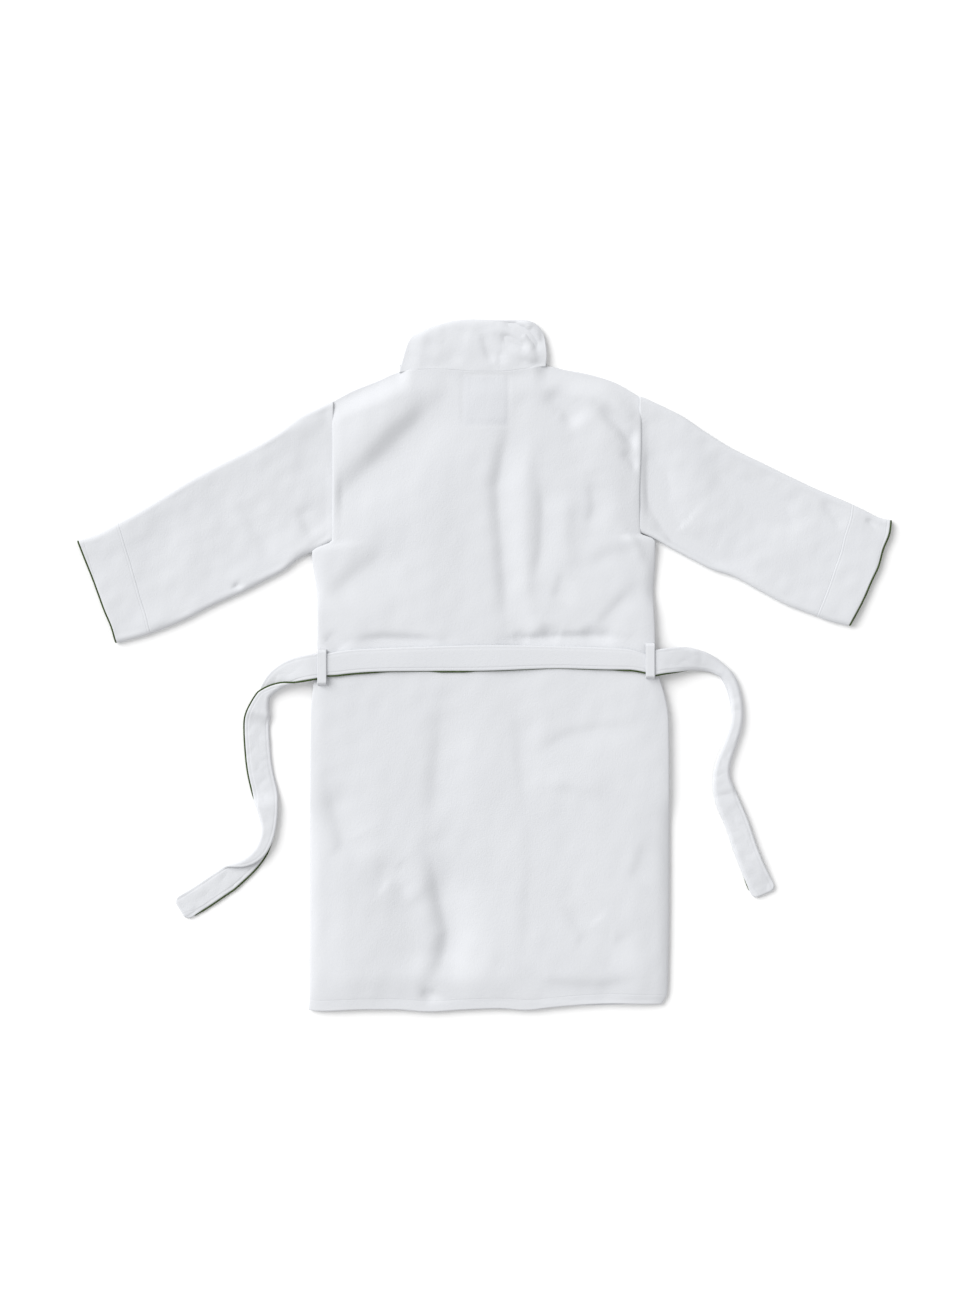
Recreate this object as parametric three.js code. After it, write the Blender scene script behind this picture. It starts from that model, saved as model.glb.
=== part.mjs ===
// A shawl-collared bathrobe laid flat with its back up: +X to its right-hand side,
// +Y towards the collar, +Z up from the surface it lies on. Sizes are in millimetres.
import * as THREE from 'three';
import { mergeVertices } from 'three/addons/utils/BufferGeometryUtils.js';

// ---- Cloth and layers -------------------------------------------------------------------------
const cloth = 3.5; // one ply of velour
const seamGap = 0.3; // between two pieces that are sewn together
const layGap = 0.4; // between two pieces that lie on each other
const pocketHollow = 4.4; // between a pocket and the front that it is sewn to
const bodyHollow = 5.6; // between the back and the fronts over the pockets
const sleeveHollow = 5.6; // between the two plies of a sleeve
const trimThickness = 1; // neck patch and care label

// ---- Body -------------------------------------------------------------------------------------
const neckY = 553; // the neckline seam, from the origin
const backLength = 1200; // neckline to hem
const hemTilt = 12; // the hem's right end lies this much higher than its left
const hemCorner = 27; // height of the rounded lower corner
const waistDrop = 541.75; // neckline to the middle of the belt
const shoulderDrop = 56; // neckline's ends to the shoulder tips
const neckRise = 7.5; // from the neckline's left end up to its right end
const sideRise = 25; // distance in from a side seam to where the back stands half up
const domeRun = 60; // distance in from a side seam to where the back lies level
const neckDip = 3; // how much lower the back lies at the neckline than in the middle
const sideShare = 0.7; // share of the rise that a back's side has made at sideRise
const hemEase = 2; // the right lower corner stands this much higher and further in
const slopeRun = 50; // length over which the fronts rise to lie over the pockets, or fall from there
const pocketMargin = 15; // how far the fronts' raised stretch runs on below the pockets
const hipDrop = 45; // pocket mouths to the level where the hips are widest
const chestRun = 90; // belt line to the upper end of the fronts' raised stretch
const sleeveClearance = 2; // a sleeve's lower edge starts this far above the armhole's foot
const sides = {
  left: {
    sign: -1, neck: 160, shoulder: 284, armhole: 265, underarm: 321, underarmDrop: 21,
    chest: 315, waist: 313, hip: 327, skirt: 329, hem: 329, hinge: 168,
    sleeveTop: 536, droop: 28.6, cuffTilt: 19.2, loopShift: -4.5,
  },
  right: {
    sign: 1, neck: 115, shoulder: 292, armhole: 255, underarm: 320, underarmDrop: 14.5,
    chest: 315, waist: 319, hip: 346, skirt: 345, hem: 333, hinge: 128,
    sleeveTop: 517, droop: 26.2, cuffTilt: 21.6, loopShift: 0,
  },
};

// ---- Fronts, lapels, pockets --------------------------------------------------------------------
const frontMeet = 4; // where the two front edges meet
const frontGap = 2; // between the two front edges
const lapelWidth = 97;
const vDrop = 403; // neckline to the foot of the V
const lapelEnd = 13; // how far a lapel runs on past the neckline, under the collar
const pocketWidth = 148;
const pocketDepth = 185;
const pocketDrop = 76; // belt line to the pocket's mouth
const pocketInset = 6; // side seam to the pocket's outer edge
const pocketEdge = 8; // width of the pocket's turned-up edge

// ---- Collar, neck trims -------------------------------------------------------------------------
const collarStand = 93.7;
// Up the collar: share of its stand, and how far its left and right ends have come in from the neckline's ends.
const collarOutline = [[0, 0, 0], [0.36, 11, 1], [0.62, 22, 4], [0.82, 54, 11], [0.93, 84, 24], [1, 130, 52]];
const patchWidth = 84;
const patchHeight = 91;
const patchMiddle = 2;
const patchMargin = 4; // from the patch's edges out to where the neckline starts to fall
const patchDrop = 14; // neckline to the patch's upper edge
const hangerDrop = 4; // neckline to the hanger loop
const labelInset = 6; // from where the back lies level in to the care label
const hangerSpan = 80;
const hangerWidth = 8;
const hangerCloth = 2;
const hangerHollow = 4.8;
const hangerFoot = 7;
const labelWidth = 25;
const labelHeight = 45;

// ---- Sleeves and cuffs --------------------------------------------------------------------------
const cuffWidth = 206;
const cuffDepth = 78;
const sleeveSag = 10; // how far a sleeve's edges bow down between shoulder and cuff
const sleeveFold = 8; // width of the rounding along a sleeve's two edges
const foldWall = 5; // wall at the two folded edges
const pipingWidth = 3;

// ---- Belt -----------------------------------------------------------------------------------------
const beltCloth = 6; // two plies of the belt
const beltWidth = 41.7; // without its piping
const beltTilt = 0.0132;
const beltBow = 8.48e-5;
const beltPivot = 340; // where each tail leaves the back, from the origin
const beltStraight = 45; // the belt runs straight this far in from each pivot
const swingGap = 0.7; // between a tail's round end and the hollow end of the belt
const swingRelief = 13.5; // how far the belt's end corners are cut back for a tail's swing
const pipingLap = 2; // how far the piping runs on past those corners
const tailDescent = 70; // length over which a tail comes down to the surface
const tailColumns = 26; // steps along a tail
const pipingStart = 5; // the step of a tail where its piping begins
const loopWidth = 17;
const loopCloth = 2.5;
const loopFoot = 3.5;
const loopEase = 11; // room along a loop beside the belt, for the belt to slide
const loopInset = 1; // side seam to a loop's outer edge
const loopZone = 58; // the side seams run straight this far to each side of the belt line
const tailRoutes = {
  left: [[0, 0], [-36, -10], [-66, -40], [-84, -77], [-87, -119], [-84, -162], [-78, -207], [-69, -250],
    [-62, -302], [-73, -340], [-100, -366], [-141, -393], [-180, -423], [-223, -454]],
  right: [[0, 0], [45, 5], [79, 0], [105, -13], [122, -41], [131, -75], [131, -117], [120, -154],
    [105, -190], [102, -222], [109, -254], [122, -287], [137, -330], [154, -372], [171, -409], [186, -443]],
};

// ---- Levels that follow ---------------------------------------------------------------------------
const frontRise = cloth + pocketHollow; // underside of a front over its pocket
const frontTop = frontRise + cloth;
const backLevel = frontTop + bodyHollow; // underside of the back where it lies level
const backTop = backLevel + cloth;
const sleeveHeight = 2 * cloth + sleeveHollow;
const beltLevel = backTop + layGap; // underside of the belt
const hemY = neckY - backLength;
const beltLine = neckY - waistDrop;
const pocketMouthY = beltLine - pocketDrop;
const pocketFootY = pocketMouthY - pocketDepth;
const raisedFootY = pocketFootY - pocketMargin;
const raisedHeadY = beltLine + chestRun;
const loopInside = beltWidth + seamGap + pipingWidth + loopEase;
const loopLength = loopInside + 2 * (loopCloth + loopFoot);

// ---- Materials --------------------------------------------------------------------------------------
const velour = { color: 0xe5e6e9, roughness: 0.95, metalness: 0 };
const lining = { color: 0xdfe0e3, roughness: 0.95, metalness: 0 };
const green = { color: 0x3c4b23, roughness: 0.8, metalness: 0 };
const tape = { color: 0xeeeeee, roughness: 0.7, metalness: 0 };

// ---- Closed solids ------------------------------------------------------------------------------------

/** Merges a geometry's shared vertices and turns its faces out. */
function closed(geometry) {
  geometry.deleteAttribute('normal');
  geometry.deleteAttribute('uv');
  const solid = mergeVertices(geometry, 1e-4);
  const index = solid.getIndex();
  const position = solid.getAttribute('position');
  const corners = [new THREE.Vector3(), new THREE.Vector3(), new THREE.Vector3()];
  let volume = 0;
  for (let t = 0; t < index.count; t += 3) {
    corners.forEach((corner, k) => corner.fromBufferAttribute(position, index.getX(t + k)));
    volume += corners[0].dot(corners[1].clone().cross(corners[2]));
  }
  if (volume < 0) {
    for (let t = 0; t < index.count; t += 3) {
      const second = index.getX(t + 1);
      index.setX(t + 1, index.getX(t + 2));
      index.setX(t + 2, second);
    }
  }
  solid.computeVertexNormals();
  return solid;
}

/** A box cut into columns by rows, each corner moved to plan(i, j) and to the height under or over it. */
function slab(columns, rows, plan, under, over) {
  const geometry = new THREE.BoxGeometry(1, 1, 1, columns, rows, 1);
  const position = geometry.getAttribute('position');
  for (let n = 0; n < position.count; n += 1) {
    const i = Math.round((position.getX(n) + 0.5) * columns);
    const j = Math.round((position.getY(n) + 0.5) * rows);
    const [x, y] = plan(i, j);
    const height = position.getZ(n) > 0 ? over(i, j) : under(i, j);
    position.setXYZ(n, x, y, height);
  }
  return closed(geometry);
}

/** A ring whose wall runs around it: place(i, j) takes the step around the ring and the step around its wall. */
function ring(around, wall, place) {
  const geometry = new THREE.TorusGeometry(2, 1, wall, around);
  const position = geometry.getAttribute('position');
  for (let j = 0; j <= wall; j += 1) {
    for (let i = 0; i <= around; i += 1) {
      position.setXYZ(j * (around + 1) + i, ...place(i % around, j % wall));
    }
  }
  return closed(geometry);
}

const robe = new THREE.Group();

function add(name, geometry, finish) {
  const mesh = new THREE.Mesh(geometry, new THREE.MeshStandardMaterial(finish));
  mesh.name = name;
  robe.add(mesh);
}

const mix = (a, b, t) => a + (b - a) * t;

// ---- The body's outline -------------------------------------------------------------------------------

/** One row across the body: its two ends, and how high the fronts lie there. */
function bodyRow(leftX, leftY, rightX, rightY, rise) {
  return { left: [-leftX, leftY], right: [rightX, rightY], rise };
}

const { left, right } = sides;
const shoulderY = { left: neckY - shoulderDrop, right: neckY + neckRise - shoulderDrop };
const armholeFootY = { left: shoulderY.left - left.armhole, right: shoulderY.right - right.armhole };
const rows = [
  bodyRow(left.hem, hemY, right.hem, hemY + hemTilt, 0),
  bodyRow(left.skirt, hemY + hemCorner, right.skirt - 2 * hemEase, hemY + hemCorner + hemEase, 0),
  bodyRow(left.skirt, raisedFootY - slopeRun, right.skirt, raisedFootY - slopeRun, 0),
  bodyRow(left.hip, raisedFootY, right.hip, raisedFootY, frontRise),
  bodyRow(left.hip, pocketMouthY - hipDrop, right.hip, pocketMouthY - hipDrop, frontRise),
  bodyRow(left.waist, beltLine - loopZone, right.waist, beltLine - loopZone, frontRise),
  bodyRow(left.waist, beltLine + loopZone, right.waist, beltLine + loopZone, frontRise),
  bodyRow(left.waist, raisedHeadY, right.chest, raisedHeadY, frontRise),
  bodyRow(left.chest, raisedHeadY + slopeRun, right.chest, raisedHeadY + slopeRun, 0),
  bodyRow(left.underarm, armholeFootY.left - left.underarmDrop, right.underarm,
    armholeFootY.right - right.underarmDrop, 0),
  bodyRow(left.shoulder, armholeFootY.left, right.shoulder, armholeFootY.right, 0),
];
const yokeSteps = 3;
const lastRow = rows.length - 1 + yokeSteps;

/** Height in plan of a row at x. */
function rowY(row, x) {
  return mix(row.left[1], row.right[1], (x - row.left[0]) / (row.right[0] - row.left[0]));
}

/** The upper edge in plan: two shoulder slopes with the neckline between them. */
function topEdge(x) {
  if (x < -left.neck) {
    return mix(shoulderY.left, neckY, (x + left.shoulder) / (left.shoulder - left.neck));
  }
  if (x > right.neck) {
    return mix(neckY, shoulderY.right, (x - right.neck) / (right.shoulder - right.neck));
  }
  return neckY;
}

/** Row j at x, where the rows past the armhole's foot spread evenly up to the upper edge. */
function rowAt(j, x) {
  const last = rows.length - 1;
  return j <= last ? rowY(rows[j], x) : mix(rowY(rows[last], x), topEdge(x), (j - last) / yokeSteps);
}

const rowOf = (j) => rows[Math.min(j, rows.length - 1)];

// ---- Back ---------------------------------------------------------------------------------------------

const backColumns = 9;

/** Column i of the back in row j: close together along the side seams, level in between. */
function backX(i, j) {
  const [from, to] = [rowOf(j).left[0], rowOf(j).right[0]];
  const patchEdge = patchWidth / 2 + patchMargin;
  return [from, from + sideRise, from + domeRun, -left.neck, patchMiddle - patchEdge,
    patchMiddle + patchEdge, right.neck, to - domeRun, to - sideRise, to][i];
}

/** Underside of the back: on the fronts along the seams, on the sleeves at the armholes, level inside. */
function backUnder(i, j) {
  const edge = Math.min(i, backColumns - i);
  const inRow = j >= rows.length - 1;
  const seam = inRow ? cloth + sleeveHollow : rowOf(j).rise + cloth + seamGap;
  const level = edge === 0 ? seam : edge === 1 ? mix(seam, backLevel, sideShare) : backLevel;
  if (j === lastRow) {
    return edge < 3 ? cloth + seamGap : edge === 3 ? mix(cloth, backLevel, 0.5) : backLevel - neckDip;
  }
  return j === 0 ? Math.min(level, cloth + sleeveHollow) : level;
}

function makeBack() {
  const plan = (i, j) => [backX(i, j), rowAt(j, backX(i, j))];
  add('back_panel', slab(backColumns, lastRow, plan, backUnder, (i, j) => backUnder(i, j) + cloth), velour);
}

// ---- Fronts ---------------------------------------------------------------------------------------------

/** The seam between a front and its lapel: straight up from the hem, then out to the neckline's end. */
function seamX(side, y) {
  const straight = side.sign * (lapelWidth + frontGap / 2) + frontMeet;
  const t = Math.max(0, (y - (neckY - vDrop)) / vDrop);
  return mix(straight, side.sign * side.neck, t);
}

/** A front's fixed part, from the side seam in to the line where its loose part folds back. */
function makeFront(name, side) {
  const inner = side.sign * (side.hinge + seamGap / 2);
  const plan = (i, j) => {
    const x = mix(rowOf(j)[name][0], inner, i / 3);
    return [x, rowAt(j, x)];
  };
  const under = (i, j) => rowOf(j).rise;
  add(`front_${name}`, slab(3, lastRow, plan, under, (i, j) => under(i, j) + cloth), velour);
}

/** A front's loose part, between the fold line and the lapel's seam, lower towards the lapel. */
function makeFlap(name, side) {
  const outer = side.sign * (side.hinge - seamGap / 2);
  const plan = (i, j) => {
    const seamY = rowAt(j, side.sign * side.neck);
    const seam = seamX(side, seamY) + (side.sign * seamGap) / 2;
    const x = mix(outer, seam, i / 2);
    return [x, i === 2 ? seamY : rowAt(j, x)];
  };
  const under = (i, j) => rowOf(j).rise * (1 - i / 2);
  add(`front_flap_${name}`, slab(2, lastRow, plan, under, (i, j) => under(i, j) + cloth), velour);
}

/** A lapel: a band of even width along the front edge and up the V to under the collar. */
function makeLapel(name, side) {
  const plan = (i, j) => {
    const y = rowAt(j, side.sign * side.neck) + (j === lastRow ? lapelEnd : 0);
    const seam = seamX(side, y) - (side.sign * seamGap) / 2;
    return [mix(seam, seamX(side, y) - side.sign * lapelWidth, i / 2), y];
  };
  add(`lapel_${name}`, slab(2, lastRow, plan, () => 0, () => cloth), velour);
}

/** A patch pocket: flat on the surface, its two sides and foot turned up to the front, its mouth open. */
function makePocket(name, side) {
  const outer = side.hip - pocketInset;
  const across = [0, pocketEdge, pocketWidth - pocketEdge, pocketWidth];
  const along = [0, pocketEdge, pocketDepth / 2, pocketDepth];
  const plan = (i, j) => [side.sign * (outer - across[i]), pocketFootY + along[j]];
  const lift = frontRise - seamGap - cloth;
  const under = (i, j) => (i === 0 || i === 3 || j === 0 ? lift : 0);
  add(`pocket_${name}`, slab(3, 3, plan, under, (i, j) => under(i, j) + cloth), velour);
}

// ---- Collar and what is sewn in the neck ------------------------------------------------------------------

/** One ply of the turned-up collar, sloping from the neckline down to the surface. */
function makeCollarPly(name, lowest, finish) {
  const neckLevel = backLevel - neckDip - cloth;
  const plan = (i, j) => {
    const [rise, leftIn, rightIn] = collarOutline[j];
    return [mix(leftIn - left.neck, right.neck - rightIn, i / 4), neckY + seamGap + rise * collarStand];
  };
  const under = (i, j) => lowest + neckLevel * (1 - collarOutline[j][0]);
  add(name, slab(4, collarOutline.length - 1, plan, under, (i, j) => under(i, j) + cloth), finish);
}

/** Underside of the back between its last two rows, where it slopes down to the neckline. */
function neckUnder(y) {
  const from = rowAt(lastRow - 1, patchMiddle);
  return backLevel - (neckDip * (y - from)) / (neckY - from);
}

function makeNeckTrims() {
  const patchTop = neckY - patchDrop;
  const patchX = (i) => patchMiddle + patchWidth * (i - 0.5);
  const patchY = (j) => patchTop - patchHeight * (1 - j);
  const over = (i, j) => neckUnder(patchY(j)) - seamGap;
  const under = (i, j) => over(i, j) - trimThickness;
  add('neck_patch', slab(1, 1, (i, j) => [patchX(i), patchY(j)], under, over), tape);

  const foot = hangerSpan / 2;
  const bridge = foot - hangerFoot;
  const across = [-foot, -bridge - hangerCloth, -bridge, bridge, bridge + hangerCloth, foot];
  const hangerY = neckY - hangerDrop - hangerWidth;
  const footTop = (j) => neckUnder(hangerY + j * hangerWidth) - seamGap;
  const drop = (i) => (i === 2 || i === 3 ? hangerHollow : 0);
  const bottom = (i) => (i === 0 || i === 5 ? hangerCloth : hangerHollow + hangerCloth);
  const plan = (i, j) => [patchMiddle + across[i], hangerY + j * hangerWidth];
  const strip = slab(5, 1, plan, (i, j) => footTop(j) - bottom(i), (i, j) => footTop(j) - drop(i));
  add('hanger_loop', strip, velour);

  const labelX = -left.hip + domeRun + labelInset;
  const labelY = pocketMouthY;
  const labelTop = backLevel - seamGap;
  const labelPlan = (i, j) => [labelX + i * labelWidth, labelY - (1 - j) * labelHeight];
  add('care_label', slab(1, 1, labelPlan, () => labelTop - trimThickness, () => labelTop), tape);
}

// ---- Sleeves --------------------------------------------------------------------------------------------------

/** The two edges of a sleeve in plan at a share s of its length, as [upper, lower]. */
function sleeveEdges(name, side, s) {
  const rootX = side.sign * (side.shoulder + seamGap);
  const droop = THREE.MathUtils.degToRad(side.droop);
  const tilt = THREE.MathUtils.degToRad(side.cuffTilt);
  const upperRoot = new THREE.Vector2(rootX, shoulderY[name]);
  const lowerRoot = new THREE.Vector2(rootX, armholeFootY[name] + sleeveClearance);
  const upperCuff = new THREE.Vector2(side.sign * Math.cos(droop), -Math.sin(droop))
    .multiplyScalar(side.sleeveTop).add(upperRoot);
  const lowerCuff = new THREE.Vector2(-side.sign * Math.sin(tilt), -Math.cos(tilt))
    .multiplyScalar(cuffWidth).add(upperCuff);
  const sag = new THREE.Vector2(0, -4 * sleeveSag * s * (1 - s));
  return [upperRoot.lerp(upperCuff, s).add(sag), lowerRoot.lerp(lowerCuff, s).add(sag)];
}

/** Six points around a flattened tube: offsets in from its two edges, and heights. inset is the wall's share. */
function sleeveSection(inset) {
  const edge = inset * foldWall;
  const fold = sleeveFold + (inset * foldWall) / 2;
  const low = inset * cloth;
  const high = sleeveHeight - inset * cloth;
  return [[0, edge, sleeveHeight / 2], [0, fold, high], [1, fold, high],
    [1, edge, sleeveHeight / 2], [1, fold, low], [0, fold, low]];
}

/** A point on the wall of a sleeve: step i around it, share s of its length, inset 0 outside to 1 inside. */
function sleevePoint(name, side, i, s, inset) {
  const [upper, lower] = sleeveEdges(name, side, s);
  const [onLower, offset, height] = sleeveSection(inset)[i];
  const along = lower.clone().sub(upper).normalize().multiplyScalar(onLower ? -offset : offset);
  const point = (onLower ? lower : upper).clone().add(along);
  return new THREE.Vector3(point.x, point.y, height);
}

/** A tube of cloth between two shares of a sleeve's length. */
function sleeveTube(name, side, from, to, steps) {
  return ring(6, 2 * (steps + 1), (i, j) => {
    const inside = j > steps;
    const step = inside ? 2 * steps + 1 - j : j;
    return sleevePoint(name, side, i, mix(from, to, step / steps), inside ? 1 : 0).toArray();
  });
}

/** The cord of piping round a cuff's rim: a six-sided section carried round the middle of the wall. */
function cuffPiping(name, side) {
  const radius = pipingWidth / 2;
  const before = sleevePoint(name, side, 1, 0.95, 0.5);
  const outward = sleevePoint(name, side, 1, 1, 0.5).sub(before).normalize();
  return ring(6, 6, (i, j) => {
    const turn = (j * Math.PI) / 3;
    const wall = sleevePoint(name, side, i, 1, 0).sub(sleevePoint(name, side, i, 1, 1)).normalize();
    return sleevePoint(name, side, i, 1, 0.5)
      .addScaledVector(outward, seamGap + radius + radius * Math.cos(turn))
      .addScaledVector(wall, radius * Math.sin(turn)).toArray();
  });
}

function makeSleeve(name, side) {
  const stitch = 1 - cuffDepth / side.sleeveTop;
  const gap = seamGap / side.sleeveTop;
  add(`sleeve_${name}`, sleeveTube(name, side, 0, stitch - gap, 3), velour);
  add(`cuff_${name}`, sleeveTube(name, side, stitch, 1, 1), velour);
  add(`cuff_piping_${name}`, cuffPiping(name, side), green);
}

// ---- Belt ---------------------------------------------------------------------------------------------------------

/** Middle of the belt in plan where it crosses the back, bowed between its two straight ends. */
function beltY(x) {
  const reach = beltPivot - beltStraight;
  const bowed = THREE.MathUtils.clamp(x, -reach, reach);
  return beltLine + beltTilt * bowed - beltBow * bowed * bowed;
}

const beltHalf = beltWidth / 2;
const acrossBelt = [-1, -0.9, -0.7, -0.4, 0, 0.4, 0.7, 0.9, 1];
const beltRows = acrossBelt.length - 1;

/** How far a round end of the belt's half-width reaches past its pivot at a share v of the half-width. */
const roundEnd = (radius, v) => Math.sqrt(Math.max(0, radius * radius - (v * beltHalf) ** 2));

function makeBeltBack() {
  const columns = 10;
  const plan = (i, j) => {
    const v = acrossBelt[j];
    const hollow = Math.max(swingRelief, roundEnd(beltHalf + swingGap, v));
    const reach = beltPivot - hollow;
    const x = mix(-reach, reach, i / columns);
    return [x, beltY(x) + v * beltHalf];
  };
  add('belt_back', slab(columns, beltRows, plan, () => beltLevel, () => beltLevel + beltCloth), velour);

  const pipingReach = beltPivot - swingRelief + pipingLap;
  const edge = (x, j) => beltY(x) - beltHalf - seamGap - pipingWidth * (1 - j);
  const pipingPlan = (i, j) => {
    const x = mix(-pipingReach, pipingReach, i / columns);
    return [x, edge(x, j)];
  };
  const low = beltLevel + (beltCloth - pipingWidth) / 2;
  add('belt_piping_back', slab(columns, 1, pipingPlan, () => low, () => low + pipingWidth), green);
}

/** The middle line of a tail in plan, from its pivot to its tip. */
function tailCurve(name, side) {
  const pivot = [side.sign * beltPivot, beltY(side.sign * beltPivot)];
  const points = tailRoutes[name].map(([x, y]) => new THREE.Vector3(pivot[0] + x, pivot[1] + y, 0));
  return new THREE.CatmullRomCurve3(points);
}

/** A point beside a tail's middle line: share s of its length, offset to the right of its run. */
function besideTail(curve, s, offset) {
  const tangent = curve.getTangentAt(s);
  const point = curve.getPointAt(s);
  return [point.x + tangent.y * offset, point.y - tangent.x * offset];
}

/** Height of a tail's underside: level with the belt at its pivot, then smoothly down to the surface. */
function tailUnder(curve, s) {
  const t = Math.min(1, (s * curve.getLength()) / tailDescent);
  return beltLevel * (1 - t * t * (3 - 2 * t));
}

function makeTail(name, side) {
  const curve = tailCurve(name, side);
  const start = curve.getTangentAt(0);
  const share = (i) => Math.max(0, i - 1) / (tailColumns - 1);
  const plan = (i, j) => {
    const v = acrossBelt[j];
    const [x, y] = besideTail(curve, share(i), v * beltHalf);
    const back = i === 0 ? roundEnd(beltHalf, v) : 0;
    return [x - back * start.x, y - back * start.y];
  };
  const under = (i) => tailUnder(curve, share(i));
  add(`belt_tail_${name}`, slab(tailColumns, beltRows, plan, under, (i) => under(i) + beltCloth), velour);

  const offset = (j) => beltHalf + seamGap + j * pipingWidth;
  const low = (i) => under(i + pipingStart) + (beltCloth - pipingWidth) / 2;
  const pipingPlan = (i, j) => besideTail(curve, share(i + pipingStart), offset(j));
  const piping = slab(tailColumns - pipingStart, 1, pipingPlan, low, (i) => low(i) + pipingWidth);
  add(`belt_tail_piping_${name}`, piping, green);
}

/** A belt loop: a strip that bridges the belt on two feet, which stand on the back beside the side seam. */
function makeLoop(name, side) {
  const nearSeam = side.waist - loopInset;
  const middle = beltY(side.sign * nearSeam) + side.loopShift;
  const half = loopLength / 2;
  const along = [-half, -half + loopFoot, -half + loopFoot + loopCloth, half - loopFoot - loopCloth,
    half - loopFoot, half];
  const plan = (i, j) => [side.sign * (nearSeam - i * loopWidth), middle + along[j]];
  const seam = frontTop + seamGap;
  const slope = (sideShare * (backLevel - seam)) / sideRise;
  const footLevel = (i) => seam + cloth + slope * (1 + i * loopWidth) + layGap;
  const bridge = beltLevel + beltCloth + layGap;
  const under = (i, j) => (j === 2 || j === 3 ? bridge : footLevel(i));
  const over = (i, j) => (j === 0 || j === 5 ? footLevel(i) + loopCloth : bridge + loopCloth);
  add(`belt_loop_${name}`, slab(1, 5, plan, under, over), velour);
}

// ---- The robe -------------------------------------------------------------------------------------------------------

makeBack();
makeNeckTrims();
makeCollarPly('collar_facing', 0, lining);
makeCollarPly('collar_outer', cloth + seamGap, velour);
makeBeltBack();
for (const [name, side] of Object.entries(sides)) {
  makeFront(name, side);
  makeFlap(name, side);
  makeLapel(name, side);
  makePocket(name, side);
  makeSleeve(name, side);
  makeTail(name, side);
  makeLoop(name, side);
}

export default robe;
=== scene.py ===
"""Looks of a shawl-collared bathrobe that lies with its back up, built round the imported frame."""
import math

import bpy
import numpy as np
from bpy.props import FloatProperty, FloatVectorProperty, PointerProperty
from bpy.types import Operator, Panel, PropertyGroup
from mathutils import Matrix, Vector


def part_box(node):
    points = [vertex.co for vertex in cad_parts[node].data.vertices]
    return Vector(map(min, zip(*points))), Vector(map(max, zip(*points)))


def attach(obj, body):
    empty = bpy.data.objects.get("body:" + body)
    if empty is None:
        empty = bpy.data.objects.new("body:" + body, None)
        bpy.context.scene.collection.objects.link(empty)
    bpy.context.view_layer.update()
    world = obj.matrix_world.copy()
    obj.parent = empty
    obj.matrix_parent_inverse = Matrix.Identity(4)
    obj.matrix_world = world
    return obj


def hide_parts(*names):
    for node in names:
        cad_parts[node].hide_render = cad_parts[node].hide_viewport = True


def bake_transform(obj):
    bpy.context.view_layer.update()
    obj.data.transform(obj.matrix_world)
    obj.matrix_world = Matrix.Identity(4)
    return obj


bl_info = {
    "name": "Bathrobe",
    "version": (1, 0, 0),
    "blender": (4, 5, 0),
    "location": "3D View > Sidebar > Bathrobe",
    "description": "Sews a terry bathrobe round its frame and sets the floor, the light and the camera",
    "category": "Add Mesh",
}

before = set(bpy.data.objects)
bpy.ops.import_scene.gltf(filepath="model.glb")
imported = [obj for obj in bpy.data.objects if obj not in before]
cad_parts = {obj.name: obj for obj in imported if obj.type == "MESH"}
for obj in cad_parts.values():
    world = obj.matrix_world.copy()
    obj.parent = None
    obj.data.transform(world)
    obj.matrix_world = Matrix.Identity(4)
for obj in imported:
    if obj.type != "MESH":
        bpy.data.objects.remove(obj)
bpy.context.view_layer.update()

MM = 0.001

# ---- Places that come from the frame ------------------------------------------------------------

BACK_LOW, BACK_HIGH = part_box("back_panel")
NECK_Y = BACK_HIGH.y
HEM_Y = BACK_LOW.y
BELT_LOW, BELT_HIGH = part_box("belt_back")
BELT_Z = (BELT_LOW.z + BELT_HIGH.z) / 2
SIDES = {"left": -1, "right": 1}
RNG_SEED = 7


# ---- Lines, patches and folds -------------------------------------------------------------------

def points(*pairs):
    """Points given in millimetres, as an array in metres."""
    return np.array(pairs, float) * MM


def line(through, share, knots=None):
    """A cubic Hermite line through points. Each tangent is the slope between the two neighbours, held to 3 times
    the flatter of the slopes beside it, or to 0.8 of it at a turning point, so that uneven steps don't make the
    line swing out. share runs from 0 to 1 by the length of the chords, or by the knots that are given."""
    p = np.asarray(through, float)
    if knots is None:
        knots = np.concatenate([[0], np.cumsum(np.linalg.norm(np.diff(p, axis=0), axis=1))])
        knots = knots / knots[-1]
    tangent = np.gradient(p, knots, axis=0)
    slope = np.diff(p, axis=0) / np.diff(knots)[:, None]
    turning = slope[:-1] * slope[1:] <= 0
    limit = np.where(turning, 0.8, 3) * np.minimum(np.abs(slope[:-1]), np.abs(slope[1:]))
    tangent[1:-1] = np.clip(tangent[1:-1], -limit, limit)
    at = np.clip(share, 0, 1)
    i = np.clip(np.searchsorted(knots, at, side="right") - 1, 0, len(p) - 2)
    step = (knots[i + 1] - knots[i])[..., None]
    f = (at - knots[i])[..., None] / step
    return (
        (2 * f**3 - 3 * f**2 + 1) * p[i]
        + (f**3 - 2 * f**2 + f) * step * tangent[i]
        + (3 * f**2 - 2 * f**3) * p[i + 1]
        + (f**3 - f**2) * step * tangent[i + 1]
    )


def smooth(t):
    """3t^2 - 2t^3 between 0 and 1, flat outside."""
    t = np.clip(t, 0, 1)
    return t * t * (3 - 2 * t)


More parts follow.
